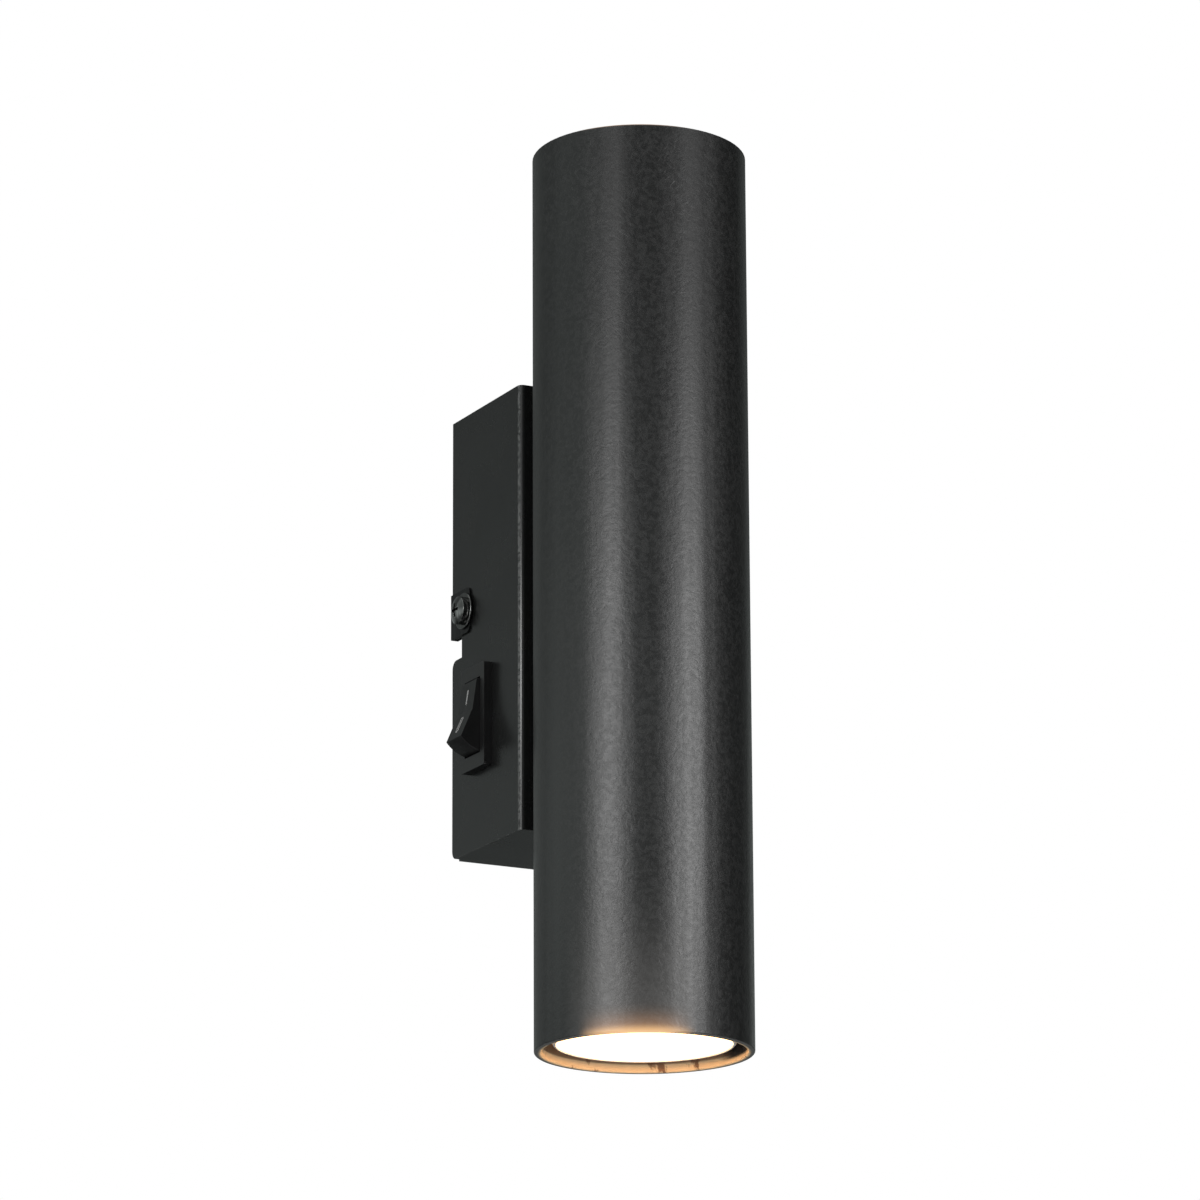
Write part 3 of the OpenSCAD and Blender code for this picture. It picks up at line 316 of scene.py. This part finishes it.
# The tube's bare inner wall: its two tones, tinted warm as painted light of the lamp, where it is
# sprayed over, and the painted shade behind the lamp and on its side in shade
BARE_LAMPLIT_TONES = ((0.79, 0.565, 0.32), (0.66, 0.46, 0.255))
OVERSPRAY = (0.2, 0.095, 0.04)
SHADE_BEHIND_LAMP = (0.15, 0.06, 0.024)
IN_SHADE = (0.012, 0.008, 0.006)
# Ways across the tube, as the shares of x and of forward: the mouth's lit side, and its side in shade
MOUTH_SIDE = (-0.53, 0.848)
SHADE_SIDE = (0.93, 0.37)
SCRATCH_ANGLES = (38, -52)
# Painted glow of the lamps' light on the outer coat: its reach from the lower and the upper rim in mm,
# the power that it falls with, where it starts round the tube (1 is the middle of the mouth's lit
# side), and its colour
PAINTED_RIM_GLOWS = (
    (60.0, 0.7, 2.0, 0.72, (0.05, 0.048, 0.046)),
    (11.5, 0.7, 3.0, 0.84, (0.3, 0.17, 0.095)),
    (3.2, 0.2, 2.0, 0.84, (0.85, 0.5, 0.23)),
)


def toward(t, x, forward, way):
    """How far a place lies towards a way across the tube: 1 on the tube's surface there."""
    return t.plus(t.times(x, way[0] / TUBE_R), t.times(forward, way[1] / TUBE_R))


def near_rims(t, z, lower_reach, upper_reach):
    """1 at both rims of the tube, falling to 0 within a reach of each."""
    lower = t.window(z, TUBE_LOW.z, TUBE_LOW.z + lower_reach, 1.0, 0.0)
    upper = t.window(z, TUBE_HIGH.z - upper_reach, TUBE_HIGH.z)
    return t.math("MAXIMUM", lower, upper)


def scratches(t, flat, z):
    """Short crossing marks of a cloth or a carton, in patches near the tube's top."""
    strokes = []
    for angle in SCRATCH_ANGLES:
        stroke = t.noise(t.turned(flat, angle, (1, 0.3, 1)), 900.0, detail=1.0)
        strokes.append(t.window(stroke, 0.57, 0.68))
    near_top = t.window(z, TUBE_HIGH.z - 62 * MM, TUBE_HIGH.z - 14 * MM)
    patches = t.window(t.noise(flat, 60.0), 0.42, 0.6)
    return t.times(t.math("MAXIMUM", *strokes), near_top, patches)


def outer_coat(t, z, speckle, marks):
    """Colour of the tube's black coat, rubbed grey in scratches, along edges and on the rims."""
    coat = t.mix(speckle, *TUBE_BLACK)
    coat = t.mix(t.times(marks, 0.06), coat, COAT_RUB_AND_HIGHLIGHT)
    edge_band = t.group(EDGE_MASK, Width=0.5 * MM)["Mask"]
    rims = near_rims(t, z, 0.35 * MM, 0.35 * MM)
    return t.mix(t.math("MAXIMUM", t.times(edge_band, 0.55), t.times(rims, 0.8)), coat, COAT_RUB_AND_HIGHLIGHT)


def inner_wall(t, x, forward, z, flat):
    """Colour of the tube's inner wall: bare steel with overspray, tinted warm as painted lamp light,
    with painted shade on one side and behind the lamp.
    """
    spray = t.noise(t.turned(flat, 25, (1, 0.5, 1)), 130.0, detail=5.0, roughness=0.6)
    # Two tones of bare steel, their warm tint painted light of the lamp
    wall_tone = t.mix(t.noise(flat, 300.0), *BARE_LAMPLIT_TONES)
    wall_tone = t.mix(t.window(spray, 0.55, 0.61), wall_tone, OVERSPRAY)
    # Painted shade on the wall past each lamp's face, inside the tube
    below_upper = t.window(z, UPPER_FACE_Z + 0.35 * MM, UPPER_FACE_Z - 0.15 * MM)
    behind = t.window(z, LOWER_FACE_Z - 0.35 * MM, LOWER_FACE_Z + 0.15 * MM)
    wall_tone = t.mix(t.times(behind, below_upper, 0.8), wall_tone, SHADE_BEHIND_LAMP)
    # Painted shade on one side of the wall, from just inside the lower rim up to the upper lamp's face
    side = t.window(toward(t, x, forward, SHADE_SIDE), 0.72, 0.86)
    deep = t.window(z, TUBE_LOW.z + 0.8 * MM, TUBE_LOW.z + 1.8 * MM)
    return t.mix(t.times(side, deep, below_upper), wall_tone, IN_SHADE)


def painted_rim_glow(t, z, facing, outside):
    """Painted glow of the lamps' light on the coat near both rims, from the widest layer to the
    closest.
    """
    glow = (0, 0, 0)
    for lower_reach, upper_reach, power, start, colour in PAINTED_RIM_GLOWS:
        near = t.math("POWER", near_rims(t, z, lower_reach * MM, upper_reach * MM), power)
        glow = t.mix(t.times(near, t.window(facing, start, 1.0), outside), glow, colour)
    return glow


def tube_coat():
    """Matt black powder coat outside, and bare steel with overspray inside."""
    material, t, shader = new_finish("tube_coat", Emission_Strength=1.0)
    x, y, z = t.axes(t.point())
    forward = t.math("SUBTRACT", TUBE_AXIS_Y, y)
    flat = t.vector(t.times(t.math("ARCTAN2", x, forward), TUBE_R), z)
    inside = t.window(t.length(x, forward), TUBE_R - 0.45 * TUBE_WALL, TUBE_R - 0.9 * TUBE_WALL)
    grain = t.group(POWDER)
    marks = scratches(t, flat, z)
    coat = outer_coat(t, z, grain["Speckle"], marks)
    t.join(t.mix(inside, coat, inner_wall(t, x, forward, z, flat)), shader.inputs["Base Color"])
    rough = t.between(0.345, 0.37, t.group(HANDLING)["Cloud"])
    rough = t.plus(rough, t.times(grain["Speckle"], 0.06))
    t.join(t.plus(rough, t.times(inside, 0.2)), shader.inputs["Roughness"])
    outside = t.math("SUBTRACT", 1.0, inside)
    # Painted glow of the lamps on the outer coat near both rims, given as emission
    glow = painted_rim_glow(t, z, toward(t, x, forward, MOUTH_SIDE), outside)
    t.join(glow, shader.inputs["Emission Color"])
    bump(t, shader, t.plus(grain["Height"], t.times(marks, 0.2)), 0.1 * MM, 0.9)
    return material


BOX_LOW, BOX_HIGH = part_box("wall_box")
FOLD_INSET = 0.9 * MM


def box_coat():
    """The same powder coat on folded sheet, with a painted highlight in grey specks along the upright
    folds.
    """
    material, t, shader = new_finish("box_coat")
    place = t.point()
    x, y, z = t.axes(place)
    grain = t.group(POWDER, Peel=600.0, Grain=1500.0)
    edge_band = t.group(EDGE_MASK, Width=0.4 * MM)["Mask"]
    # Painted highlight along each upright fold, broken into specks; the coat is also rougher and raised
    # there
    aside = t.math("SUBTRACT", t.math("ABSOLUTE", x), BOX_HIGH.x)
    ahead = t.math("SUBTRACT", y, BOX_LOW.y + FOLD_INSET)
    fold_highlight = t.window(t.length(aside, ahead), 0.2 * MM, 0.75 * MM, 1.0, 0.0)
    specks = t.noise(place, 950.0, detail=2.0, roughness=0.6)
    fold_highlight = t.times(fold_highlight, t.window(specks, 0.36, 0.62, 0.12, 1.0))
    coat = t.mix(grain["Speckle"], *BOX_BLACK)
    coat = t.mix(t.times(edge_band, 0.4), coat, COAT_RUB_AND_HIGHLIGHT)
    t.join(t.mix(t.times(fold_highlight, 0.85), coat, COAT_RUB_AND_HIGHLIGHT), shader.inputs["Base Color"])
    rough = t.between(0.23, 0.29, t.group(HANDLING, Cloud=36.0)["Cloud"])
    t.join(t.plus(rough, t.times(fold_highlight, 0.2)), shader.inputs["Roughness"])
    bump(t, shader, t.plus(grain["Height"], fold_highlight), 0.018 * MM, 0.8)
    return material


def plated_steel(name, dark, light, roughness, relief=0.02 * MM, tint=None, painted_highlight=None):
    """Rolled or turned metal with a thin plating that is worn bright along the edges. A painted
    highlight, where one is given, lies along the edges in its place, more strongly.
    """
    material, t, shader = new_finish(name, Metallic=1.0)
    metal = t.group(DRAWN)
    hands = t.group(HANDLING, Cloud=120.0)
    colour = t.mix(metal["Streak"], dark, light)
    if tint is not None:
        colour = t.mix(t.times(hands["Cloud"], 0.35), colour, tint)
    edge_band = t.group(EDGE_MASK, Width=0.3 * MM)["Mask"]
    # Along the edges: a painted highlight where one is given, else brighter worn plating
    edge = painted_highlight or tuple(min(1.0, 1.35 * c) for c in light)
    colour = t.mix(t.times(edge_band, 0.9 if painted_highlight else 0.5), colour, edge)
    t.join(colour, shader.inputs["Base Color"])
    t.join(t.between(*roughness, hands["Smear"]), shader.inputs["Roughness"])
    bump(t, shader, metal["Height"], relief, 0.6)
    return material


def moulded_plastic(name, dark, light, roughness):
    """Moulded plastic with a fine skin, paler where an edge is worn."""
    material, t, shader = new_finish(name)
    skin = t.group(MOULDED)
    hands = t.group(HANDLING, Cloud=90.0)
    edge_band = t.group(EDGE_MASK, Width=0.35 * MM)["Mask"]
    edge = tuple(min(1.0, 1.6 * c + 0.02) for c in light)
    colour = t.mix(t.times(edge_band, 0.35), t.mix(skin["Mottle"], dark, light), edge)
    t.join(colour, shader.inputs["Base Color"])
    t.join(t.between(*roughness, hands["Smear"]), shader.inputs["Roughness"])
    bump(t, shader, skin["Height"], 0.015 * MM, 0.6)
    return material


def ceramic():
    """Fired steatite with a thin glaze and dark specks."""
    material, t, shader = new_finish("ceramic", Coat_Roughness=0.12, Coat_Weight=0.4)
    place = t.point()
    specks = t.window(t.cells(place, 520.0), 0.0, 0.09, 1.0, 0.0)
    tone = t.mix(t.noise(place, 120.0), (0.72, 0.69, 0.62), (0.8, 0.78, 0.72))
    t.join(t.mix(t.times(specks, 0.5), tone, (0.3, 0.24, 0.18)), shader.inputs["Base Color"])
    t.join(t.between(0.35, 0.55, t.group(HANDLING)["Smear"]), shader.inputs["Roughness"])
    bump(t, shader, t.noise(place, 900.0, detail=2.0), 0.02 * MM, 0.6)
    return material


LAMP_STRENGTH = 5.2
LAMP_WARMTH = (1.0, 0.55, 0.24)
LAMP_FACET_SHARE = 0.94


def lamp_window():
    """Lit window of a lamp, with fine lens facets that are dimmer along their borders."""
    material, t, shader = new_finish("lamp_window", Emission_Strength=LAMP_STRENGTH, Roughness=0.25)
    facets = t.cells(t.point(), 420.0)
    border = tuple(LAMP_FACET_SHARE * c for c in LAMP_WARMTH)
    glow = t.mix(t.window(facets, 0.1, 0.7), LAMP_WARMTH, border)
    t.join(glow, shader.inputs["Emission Color"])
    t.join(t.mix(facets, (0.82, 0.8, 0.74), (0.74, 0.72, 0.66)), shader.inputs["Base Color"])
    bump(t, shader, facets, 0.2 * MM, 0.5)
    return material


def lead_sleeve(name, dark, light):
    """Insulation of a lead: smooth, with a faint drawn line."""
    material, t, shader = new_finish(name)
    drawn = t.group(DRAWN, Lines=1400.0)
    t.join(t.mix(drawn["Streak"], dark, light), shader.inputs["Base Color"])
    smear = t.group(HANDLING, Cloud=150.0)["Smear"]
    t.join(t.between(0.38, 0.52, smear), shader.inputs["Roughness"])
    bump(t, shader, drawn["Height"], 0.015 * MM, 0.5)
    return material


def mark_paint():
    """White pad-printed ink, a little worn."""
    material, t, shader = new_finish("mark_paint")
    rub = t.window(t.noise(t.point(), 1500.0), 0.4, 0.7)
    t.join(t.mix(rub, (0.3, 0.3, 0.295), (0.16, 0.16, 0.158)), shader.inputs["Base Color"])
    t.join(t.between(0.45, 0.6, rub), shader.inputs["Roughness"])
    bump(t, shader, t.group(MOULDED)["Height"], 0.01 * MM, 0.6)
    return material


# Each slot of the record and its finish. A metal or a plastic is given by its dark and its light
# tone, and its lowest and highest roughness
FINISHES = {
    "tube_coat": tube_coat(),
    "box_coat": box_coat(),
    "zinc_steel": plated_steel(
        "zinc_steel", (0.5, 0.51, 0.52), (0.66, 0.67, 0.68), (0.28, 0.42), tint=(0.62, 0.6, 0.5)),
    "spring_steel": plated_steel(
        "spring_steel", (0.018, 0.018, 0.019), (0.035, 0.035, 0.036), (0.34, 0.48)),
    # Dark nickel, with a painted highlight along its edges
    "dark_nickel": plated_steel(
        "dark_nickel", (0.11, 0.11, 0.109), (0.18, 0.18, 0.178), (0.1, 0.18),
        relief=0.008 * MM, painted_highlight=(0.8, 0.79, 0.76)),
    "saddle_plastic": moulded_plastic(
        "saddle_plastic", (0.012, 0.012, 0.012), (0.02, 0.02, 0.02), (0.5, 0.62)),
    "nylon": moulded_plastic("nylon", (0.66, 0.64, 0.57), (0.76, 0.74, 0.67), (0.42, 0.55)),
    "ceramic": ceramic(),
    "contact_brass": plated_steel(
        "contact_brass", (0.6, 0.42, 0.17), (0.78, 0.58, 0.26), (0.26, 0.4)),
    "tinned_metal": plated_steel(
        "tinned_metal", (0.58, 0.57, 0.55), (0.72, 0.71, 0.69), (0.3, 0.42)),
    "lamp_shell": moulded_plastic("lamp_shell", (0.6, 0.6, 0.59), (0.7, 0.7, 0.69), (0.34, 0.46)),
    "lamp_window": lamp_window(),
    "switch_plastic": moulded_plastic(
        "switch_plastic", (0.0042, 0.0042, 0.0044), (0.006, 0.006, 0.0062), (0.36, 0.46)),
    "brown_lead": lead_sleeve("brown_lead", (0.12, 0.045, 0.015), (0.17, 0.068, 0.025)),
    "black_lead": lead_sleeve("black_lead", (0.012, 0.012, 0.012), (0.022, 0.022, 0.022)),
    "white_lead": lead_sleeve("white_lead", (0.7, 0.7, 0.67), (0.78, 0.78, 0.75)),
    "earth_green": lead_sleeve("earth_green", (0.05, 0.24, 0.05), (0.09, 0.33, 0.08)),
}
MARK_PAINT = mark_paint()


def dress_pieces():
    """Each piece keeps the slot that the record gives it, and that slot gets its finish."""
    for node in nodes_of_lamp.values():
        for index, material in enumerate(node.data.materials):
            node.data.materials[index] = FINISHES[material.name]


# Edges: each piece with folded, turned or moulded edges gets a small radius

EDGE_RADII_MM = {
    "lamp_tube": 0.12, "wall_box": 0.15, "wall_bracket": 0.2, "clip_nuts": 0.12, "side_screws": 0.35,
    "side_washers": 0.2, "saddle": 0.3, "tube_screws": 0.12, "lock_washers": 0.1, "wire_bush": 0.25,
    "bush_nut": 0.2, "holder_carrier": 0.2, "lower_lampholder": 0.4, "upper_lampholder": 0.4,
    "switch_housing": 0.25, "switch_rocker": 0.12, "switch_terminals": 0.1, "blade_connectors": 0.15,
    "terminal_block": 0.25, "terminal_screws": 0.08, "block_screw": 0.1, "earth_nut": 0.15,
    "earth_lug": 0.1, "lower_lamp_body": 0.2, "upper_lamp_body": 0.2, "lower_lamp_base": 0.2,
    "upper_lamp_base": 0.2,
}
EDGE_ANGLE = math.radians(32)
EDGE_SEGMENTS = 2
WELD_REACH = 0.002 * MM


def round_edges(node, radius):
    weld = node.modifiers.new("weld", "WELD")
    weld.merge_threshold = WELD_REACH
    bevel = node.modifiers.new("edge_radius", "BEVEL")
    bevel.width = radius
    bevel.segments = EDGE_SEGMENTS
    bevel.limit_method = "ANGLE"
    bevel.angle_limit = EDGE_ANGLE
    bevel.harden_normals = True


def add_object(name, mesh, material, place=None):
    """Turns a built mesh into an object of the scene, moved to its place first if one is given."""
    data = bpy.data.meshes.new(name)
    mesh.to_mesh(data)
    mesh.free()
    if place is not None:
        data.transform(place)
    data.materials.append(material)
    made = bpy.data.objects.new(name, data)
    scene.collection.objects.link(made)
    return made


# Printed marks on the rocker: a bar on its upper half for on, and a ring on its lower half for off

MARK_BAR_W = 0.75 * MM
MARK_BAR_LENGTH = 4.4 * MM
MARK_RING_W = 1.6 * MM
MARK_RING_LENGTH = 5.2 * MM
MARK_LINE = 0.58 * MM
MARK_T = 0.04 * MM
MARK_LIFT = 0.004 * MM
MARK_FROM_PIVOT = 4.3 * MM
MARK_STEPS = 20
# The rocker's face, as in the part's source: its tilt at rest, the slope of each half, and the
# height of its middle above the pivot
ROCKER_TILT = math.radians(16)
ROCKER_SLOPE = math.radians(7.5)
ROCKER_RISE = 5 * MM
ROCKER_PIVOT = Vector(next(j for j in frame["joints"] if j["name"] == "rocker_tilt")["pos_m"])


def stadium(width, length):
    """Outline of a bar with round ends, about its middle, with its length along the second axis."""
    r, straight = width / 2, (length - width) / 2
    outline = []
    for end in (1, -1):
        for i in range(MARK_STEPS + 1):
            a = math.pi * i / MARK_STEPS + (0 if end > 0 else math.pi)
            outline.append((r * math.cos(a), end * straight + r * math.sin(a)))
    return outline


def add_mark(name, outer, inner, place):
    """A thin printed shape, solid or with a hole. Its first axis runs across the rocker."""
    mesh = bmesh.new()
    rims = []
    for outline in filter(None, (outer, inner)):
        rims.append([[mesh.verts.new((u, v, h)) for u, v in outline] for h in (0, MARK_T)])
    sides = [(i, (i + 1) % len(outer)) for i in range(len(outer))]
    for low, high in rims:
        for i, j in sides:
            mesh.faces.new((low[i], low[j], high[j], high[i]))
    for level in zip(*rims):
        if inner is None:
            mesh.faces.new(level[0])
        else:
            for i, j in sides:
                mesh.faces.new((level[0][i], level[0][j], level[1][j], level[1][i]))
    bmesh.ops.recalc_face_normals(mesh, faces=mesh.faces)
    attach(add_object(name, mesh, MARK_PAINT, place), "rocker")


def rocker_place(half):
    """Where a mark lies: half is 1 on the upper half of the rocker's face and -1 on the lower."""
    out_of_box = Vector((-1, 0, 0))
    across = Vector((0, 1, 0))
    up = Vector((0, 0, 1))
    face_turn = half * ROCKER_SLOPE
    along_face = up * math.cos(face_turn) * half + out_of_box * math.sin(abs(face_turn))
    normal = (out_of_box * math.cos(face_turn) - up * math.sin(face_turn)).normalized()
    foot = out_of_box * ROCKER_RISE + along_face * MARK_FROM_PIVOT + normal * MARK_LIFT
    if across.cross(along_face).dot(normal) < 0:
        across = -across
    axes = Matrix((across, along_face, normal)).transposed().to_4x4()
    tilt = Matrix.Rotation(ROCKER_TILT, 4, Vector((0, 1, 0)))
    return Matrix.Translation(ROCKER_PIVOT) @ tilt @ Matrix.Translation(foot) @ axes


def add_marks():
    add_mark("rocker_on_bar", stadium(MARK_BAR_W, MARK_BAR_LENGTH), None, rocker_place(1))
    ring = stadium(MARK_RING_W, MARK_RING_LENGTH)
    hole = stadium(MARK_RING_W - 2 * MARK_LINE, MARK_RING_LENGTH - 2 * MARK_LINE)
    add_mark("rocker_off_ring", ring, hole, rocker_place(-1))


# Studio: pale floor, white background, two large soft lights and cards that only reflections see

FLOOR_DROP = 1.0
FLOOR_SIZE = 30.0
# The floor is lifted towards white, more and more between two distances from the lamp
FLOOR_LIFT = 0.7
FLOOR_FADE = (1.0, 6.0)
SOFTBOX_WAY = 2.2
SOFTBOX_LOW = -0.85
# Each softbox: its azimuth left of the front, its width and its strength
SOFTBOXES = {"left_softbox": (60.0, 0.82, 8.0), "right_softbox": (-21.5, 0.86, 9.0)}
# A softbox is dim at its foot and fades towards its top, in steps: the height of each upper edge,
# and its share of the strength
SOFTBOX_STEPS = ((-0.12, 0.42), (0.42, 1.22), (0.56, 0.92), (0.7, 0.58), (0.86, 0.32))
# Brightness of the background for the rays that don't show it
WORLD_FILL = 0.35
# Cards that only gloss sees: where each starts and ends, left of the front, and its tone
CARDS = {
    "front_card": (-12, 45, 0.34),
    "left_card": (75, 138, 1.0),
    "rear_card": (138, 188, 0.34),
    "behind_card": (188, 242, 0.4),
    "right_card": (-118, -52, 0.08),
}
# Upright section of a card, as its distance from the lamp and its height. Its tone is full between
# two heights, and falls to a share of it below and above them
CARD_SECTION = ((0.5, -0.97), (3.2, -0.96), (3.2, 3.2), (1.6, 4.4))
CARD_LOW_FADE = (-0.8, 0.1)
CARD_LOW_SHARE = 0.2
CARD_HIGH_FADE = (0.4, 1.1)
CARD_HIGH_SHARE = 0.5
CARD_TINT = (0.92, 1.0, 0.97)
CARD_STEPS = 24
LAMP_CENTRE = Vector((0, TUBE_AXIS_Y, 0))


def around(azimuth, distance, height):
    """A place round the lamp: azimuth 0 is in front of it and 90 is on its left, in degrees."""
    a = math.radians(azimuth)
    return LAMP_CENTRE + Vector((-math.sin(a) * distance, -math.cos(a) * distance, height))


def add_softbox(name, azimuth, width, strength):
    """An upright softbox, as one flat light for each step of its fade."""
    foot = SOFTBOX_LOW
    for index, (top, share) in enumerate(SOFTBOX_STEPS):
        data = bpy.data.lights.new(f"{name}_{index}", "AREA")
        data.shape = "RECTANGLE"
        data.size = width
        data.size_y = top - foot
        data.energy = strength * share * math.pi * width * data.size_y
        light = bpy.data.objects.new(data.name, data)
        light.location = around(azimuth, SOFTBOX_WAY, (top + foot) / 2)
        inward = Vector((LAMP_CENTRE.x, LAMP_CENTRE.y, light.location.z)) - light.location
        light.rotation_mode = "QUATERNION"
        light.rotation_quaternion = inward.to_track_quat("-Z", "Y")
        scene.collection.objects.link(light)
        foot = top


def seen_rays(t):
    """1 for the rays of the camera, of gloss and of glass, and 0 for the others."""
    rays = t.add("ShaderNodeLightPath").outputs
    seen = t.math("MAXIMUM", rays["Is Camera Ray"], rays["Is Glossy Ray"])
    return t.math("MAXIMUM", seen, rays["Is Transmission Ray"])


def floor_paper():
    """Pale paper that runs into the white behind it. From below it is clear, so the lamp shows."""
    material, t, shader = new_finish("floor_paper", Roughness=0.8)
    place = t.point()
    tone = t.mix(t.noise(place, 3.0), (0.8, 0.8, 0.8), (0.82, 0.82, 0.82))
    t.join(tone, shader.inputs["Base Color"])
    x, y, z = t.axes(place)
    pale = t.window(t.length(x, y), *FLOOR_FADE, FLOOR_LIFT, 1.0)
    white = t.add("ShaderNodeEmission").outputs[0]
    clear = t.add("ShaderNodeBsdfTransparent").outputs[0]
    below = t.add("ShaderNodeNewGeometry").outputs["Backfacing"]
    above = t.either(t.times(seen_rays(t), pale), shader.outputs[0], white)
    t.join(t.either(below, above, clear), t.nodes["Material Output"].inputs["Surface"])
    return material


def add_floor():
    mesh = bmesh.new()
    bmesh.ops.create_grid(mesh, x_segments=4, y_segments=4, size=FLOOR_SIZE / 2)
    floor = add_object("floor", mesh, floor_paper())
    floor.location = (0, 0, -FLOOR_DROP)


def card_glow(name, tone):
    """Plain light, full between two heights and dimmer below and above them."""
    material = bpy.data.materials.new(name)
    material.use_nodes = True
    t = Tree(material.node_tree)
    t.nodes.clear()
    z = t.axes(t.point())[2]
    full = tuple(tone * c for c in CARD_TINT)
    low, high = (tuple(share * c for c in full) for share in (CARD_LOW_SHARE, CARD_HIGH_SHARE))
    upright = t.mix(t.window(z, *CARD_HIGH_FADE), full, high)
    glow = t.feed(t.add("ShaderNodeEmission"), Color=t.mix(t.window(z, *CARD_LOW_FADE), low, upright))
    t.join(glow.outputs[0], t.add("ShaderNodeOutputMaterial").inputs["Surface"])
    return material


def add_card(name, start, end, tone):
    """A card that lies on the floor and stands up round part of the lamp. Only reflections see it."""
    mesh = bmesh.new()
    rows = []
    for i in range(CARD_STEPS + 1):
        azimuth = start + (end - start) * i / CARD_STEPS
        rows.append([mesh.verts.new(around(azimuth, way, z)) for way, z in CARD_SECTION])
    for a, b in zip(rows, rows[1:]):
        for i in range(len(CARD_SECTION) - 1):
            mesh.faces.new((a[i], b[i], b[i + 1], a[i + 1]))
    card = add_object(name, mesh, card_glow(name, tone))
    card.visible_camera = False
    card.visible_diffuse = False
    card.visible_transmission = False
    card.visible_shadow = False


def add_world():
    """White where the camera, gloss and glass look, and a plain fill for everything else."""
    world = bpy.data.worlds.new("studio")
    world.use_nodes = True
    scene.world = world
    t = Tree(world.node_tree)
    t.nodes.clear()
    fill, white = (
        t.feed(t.add("ShaderNodeBackground"), Color=(1, 1, 1, 1), Strength=strength).outputs[0]
        for strength in (WORLD_FILL, 1.0))
    t.join(t.either(seen_rays(t), fill, white), t.add("ShaderNodeOutputWorld").inputs["Surface"])


dress_pieces()
for node_name, radius_mm in EDGE_RADII_MM.items():
    round_edges(nodes_of_lamp[node_name], radius_mm * MM)
add_marks()
add_world()
add_floor()
for softbox_name, values in SOFTBOXES.items():
    add_softbox(softbox_name, *values)
for card_name, values in CARDS.items():
    add_card(card_name, *values)
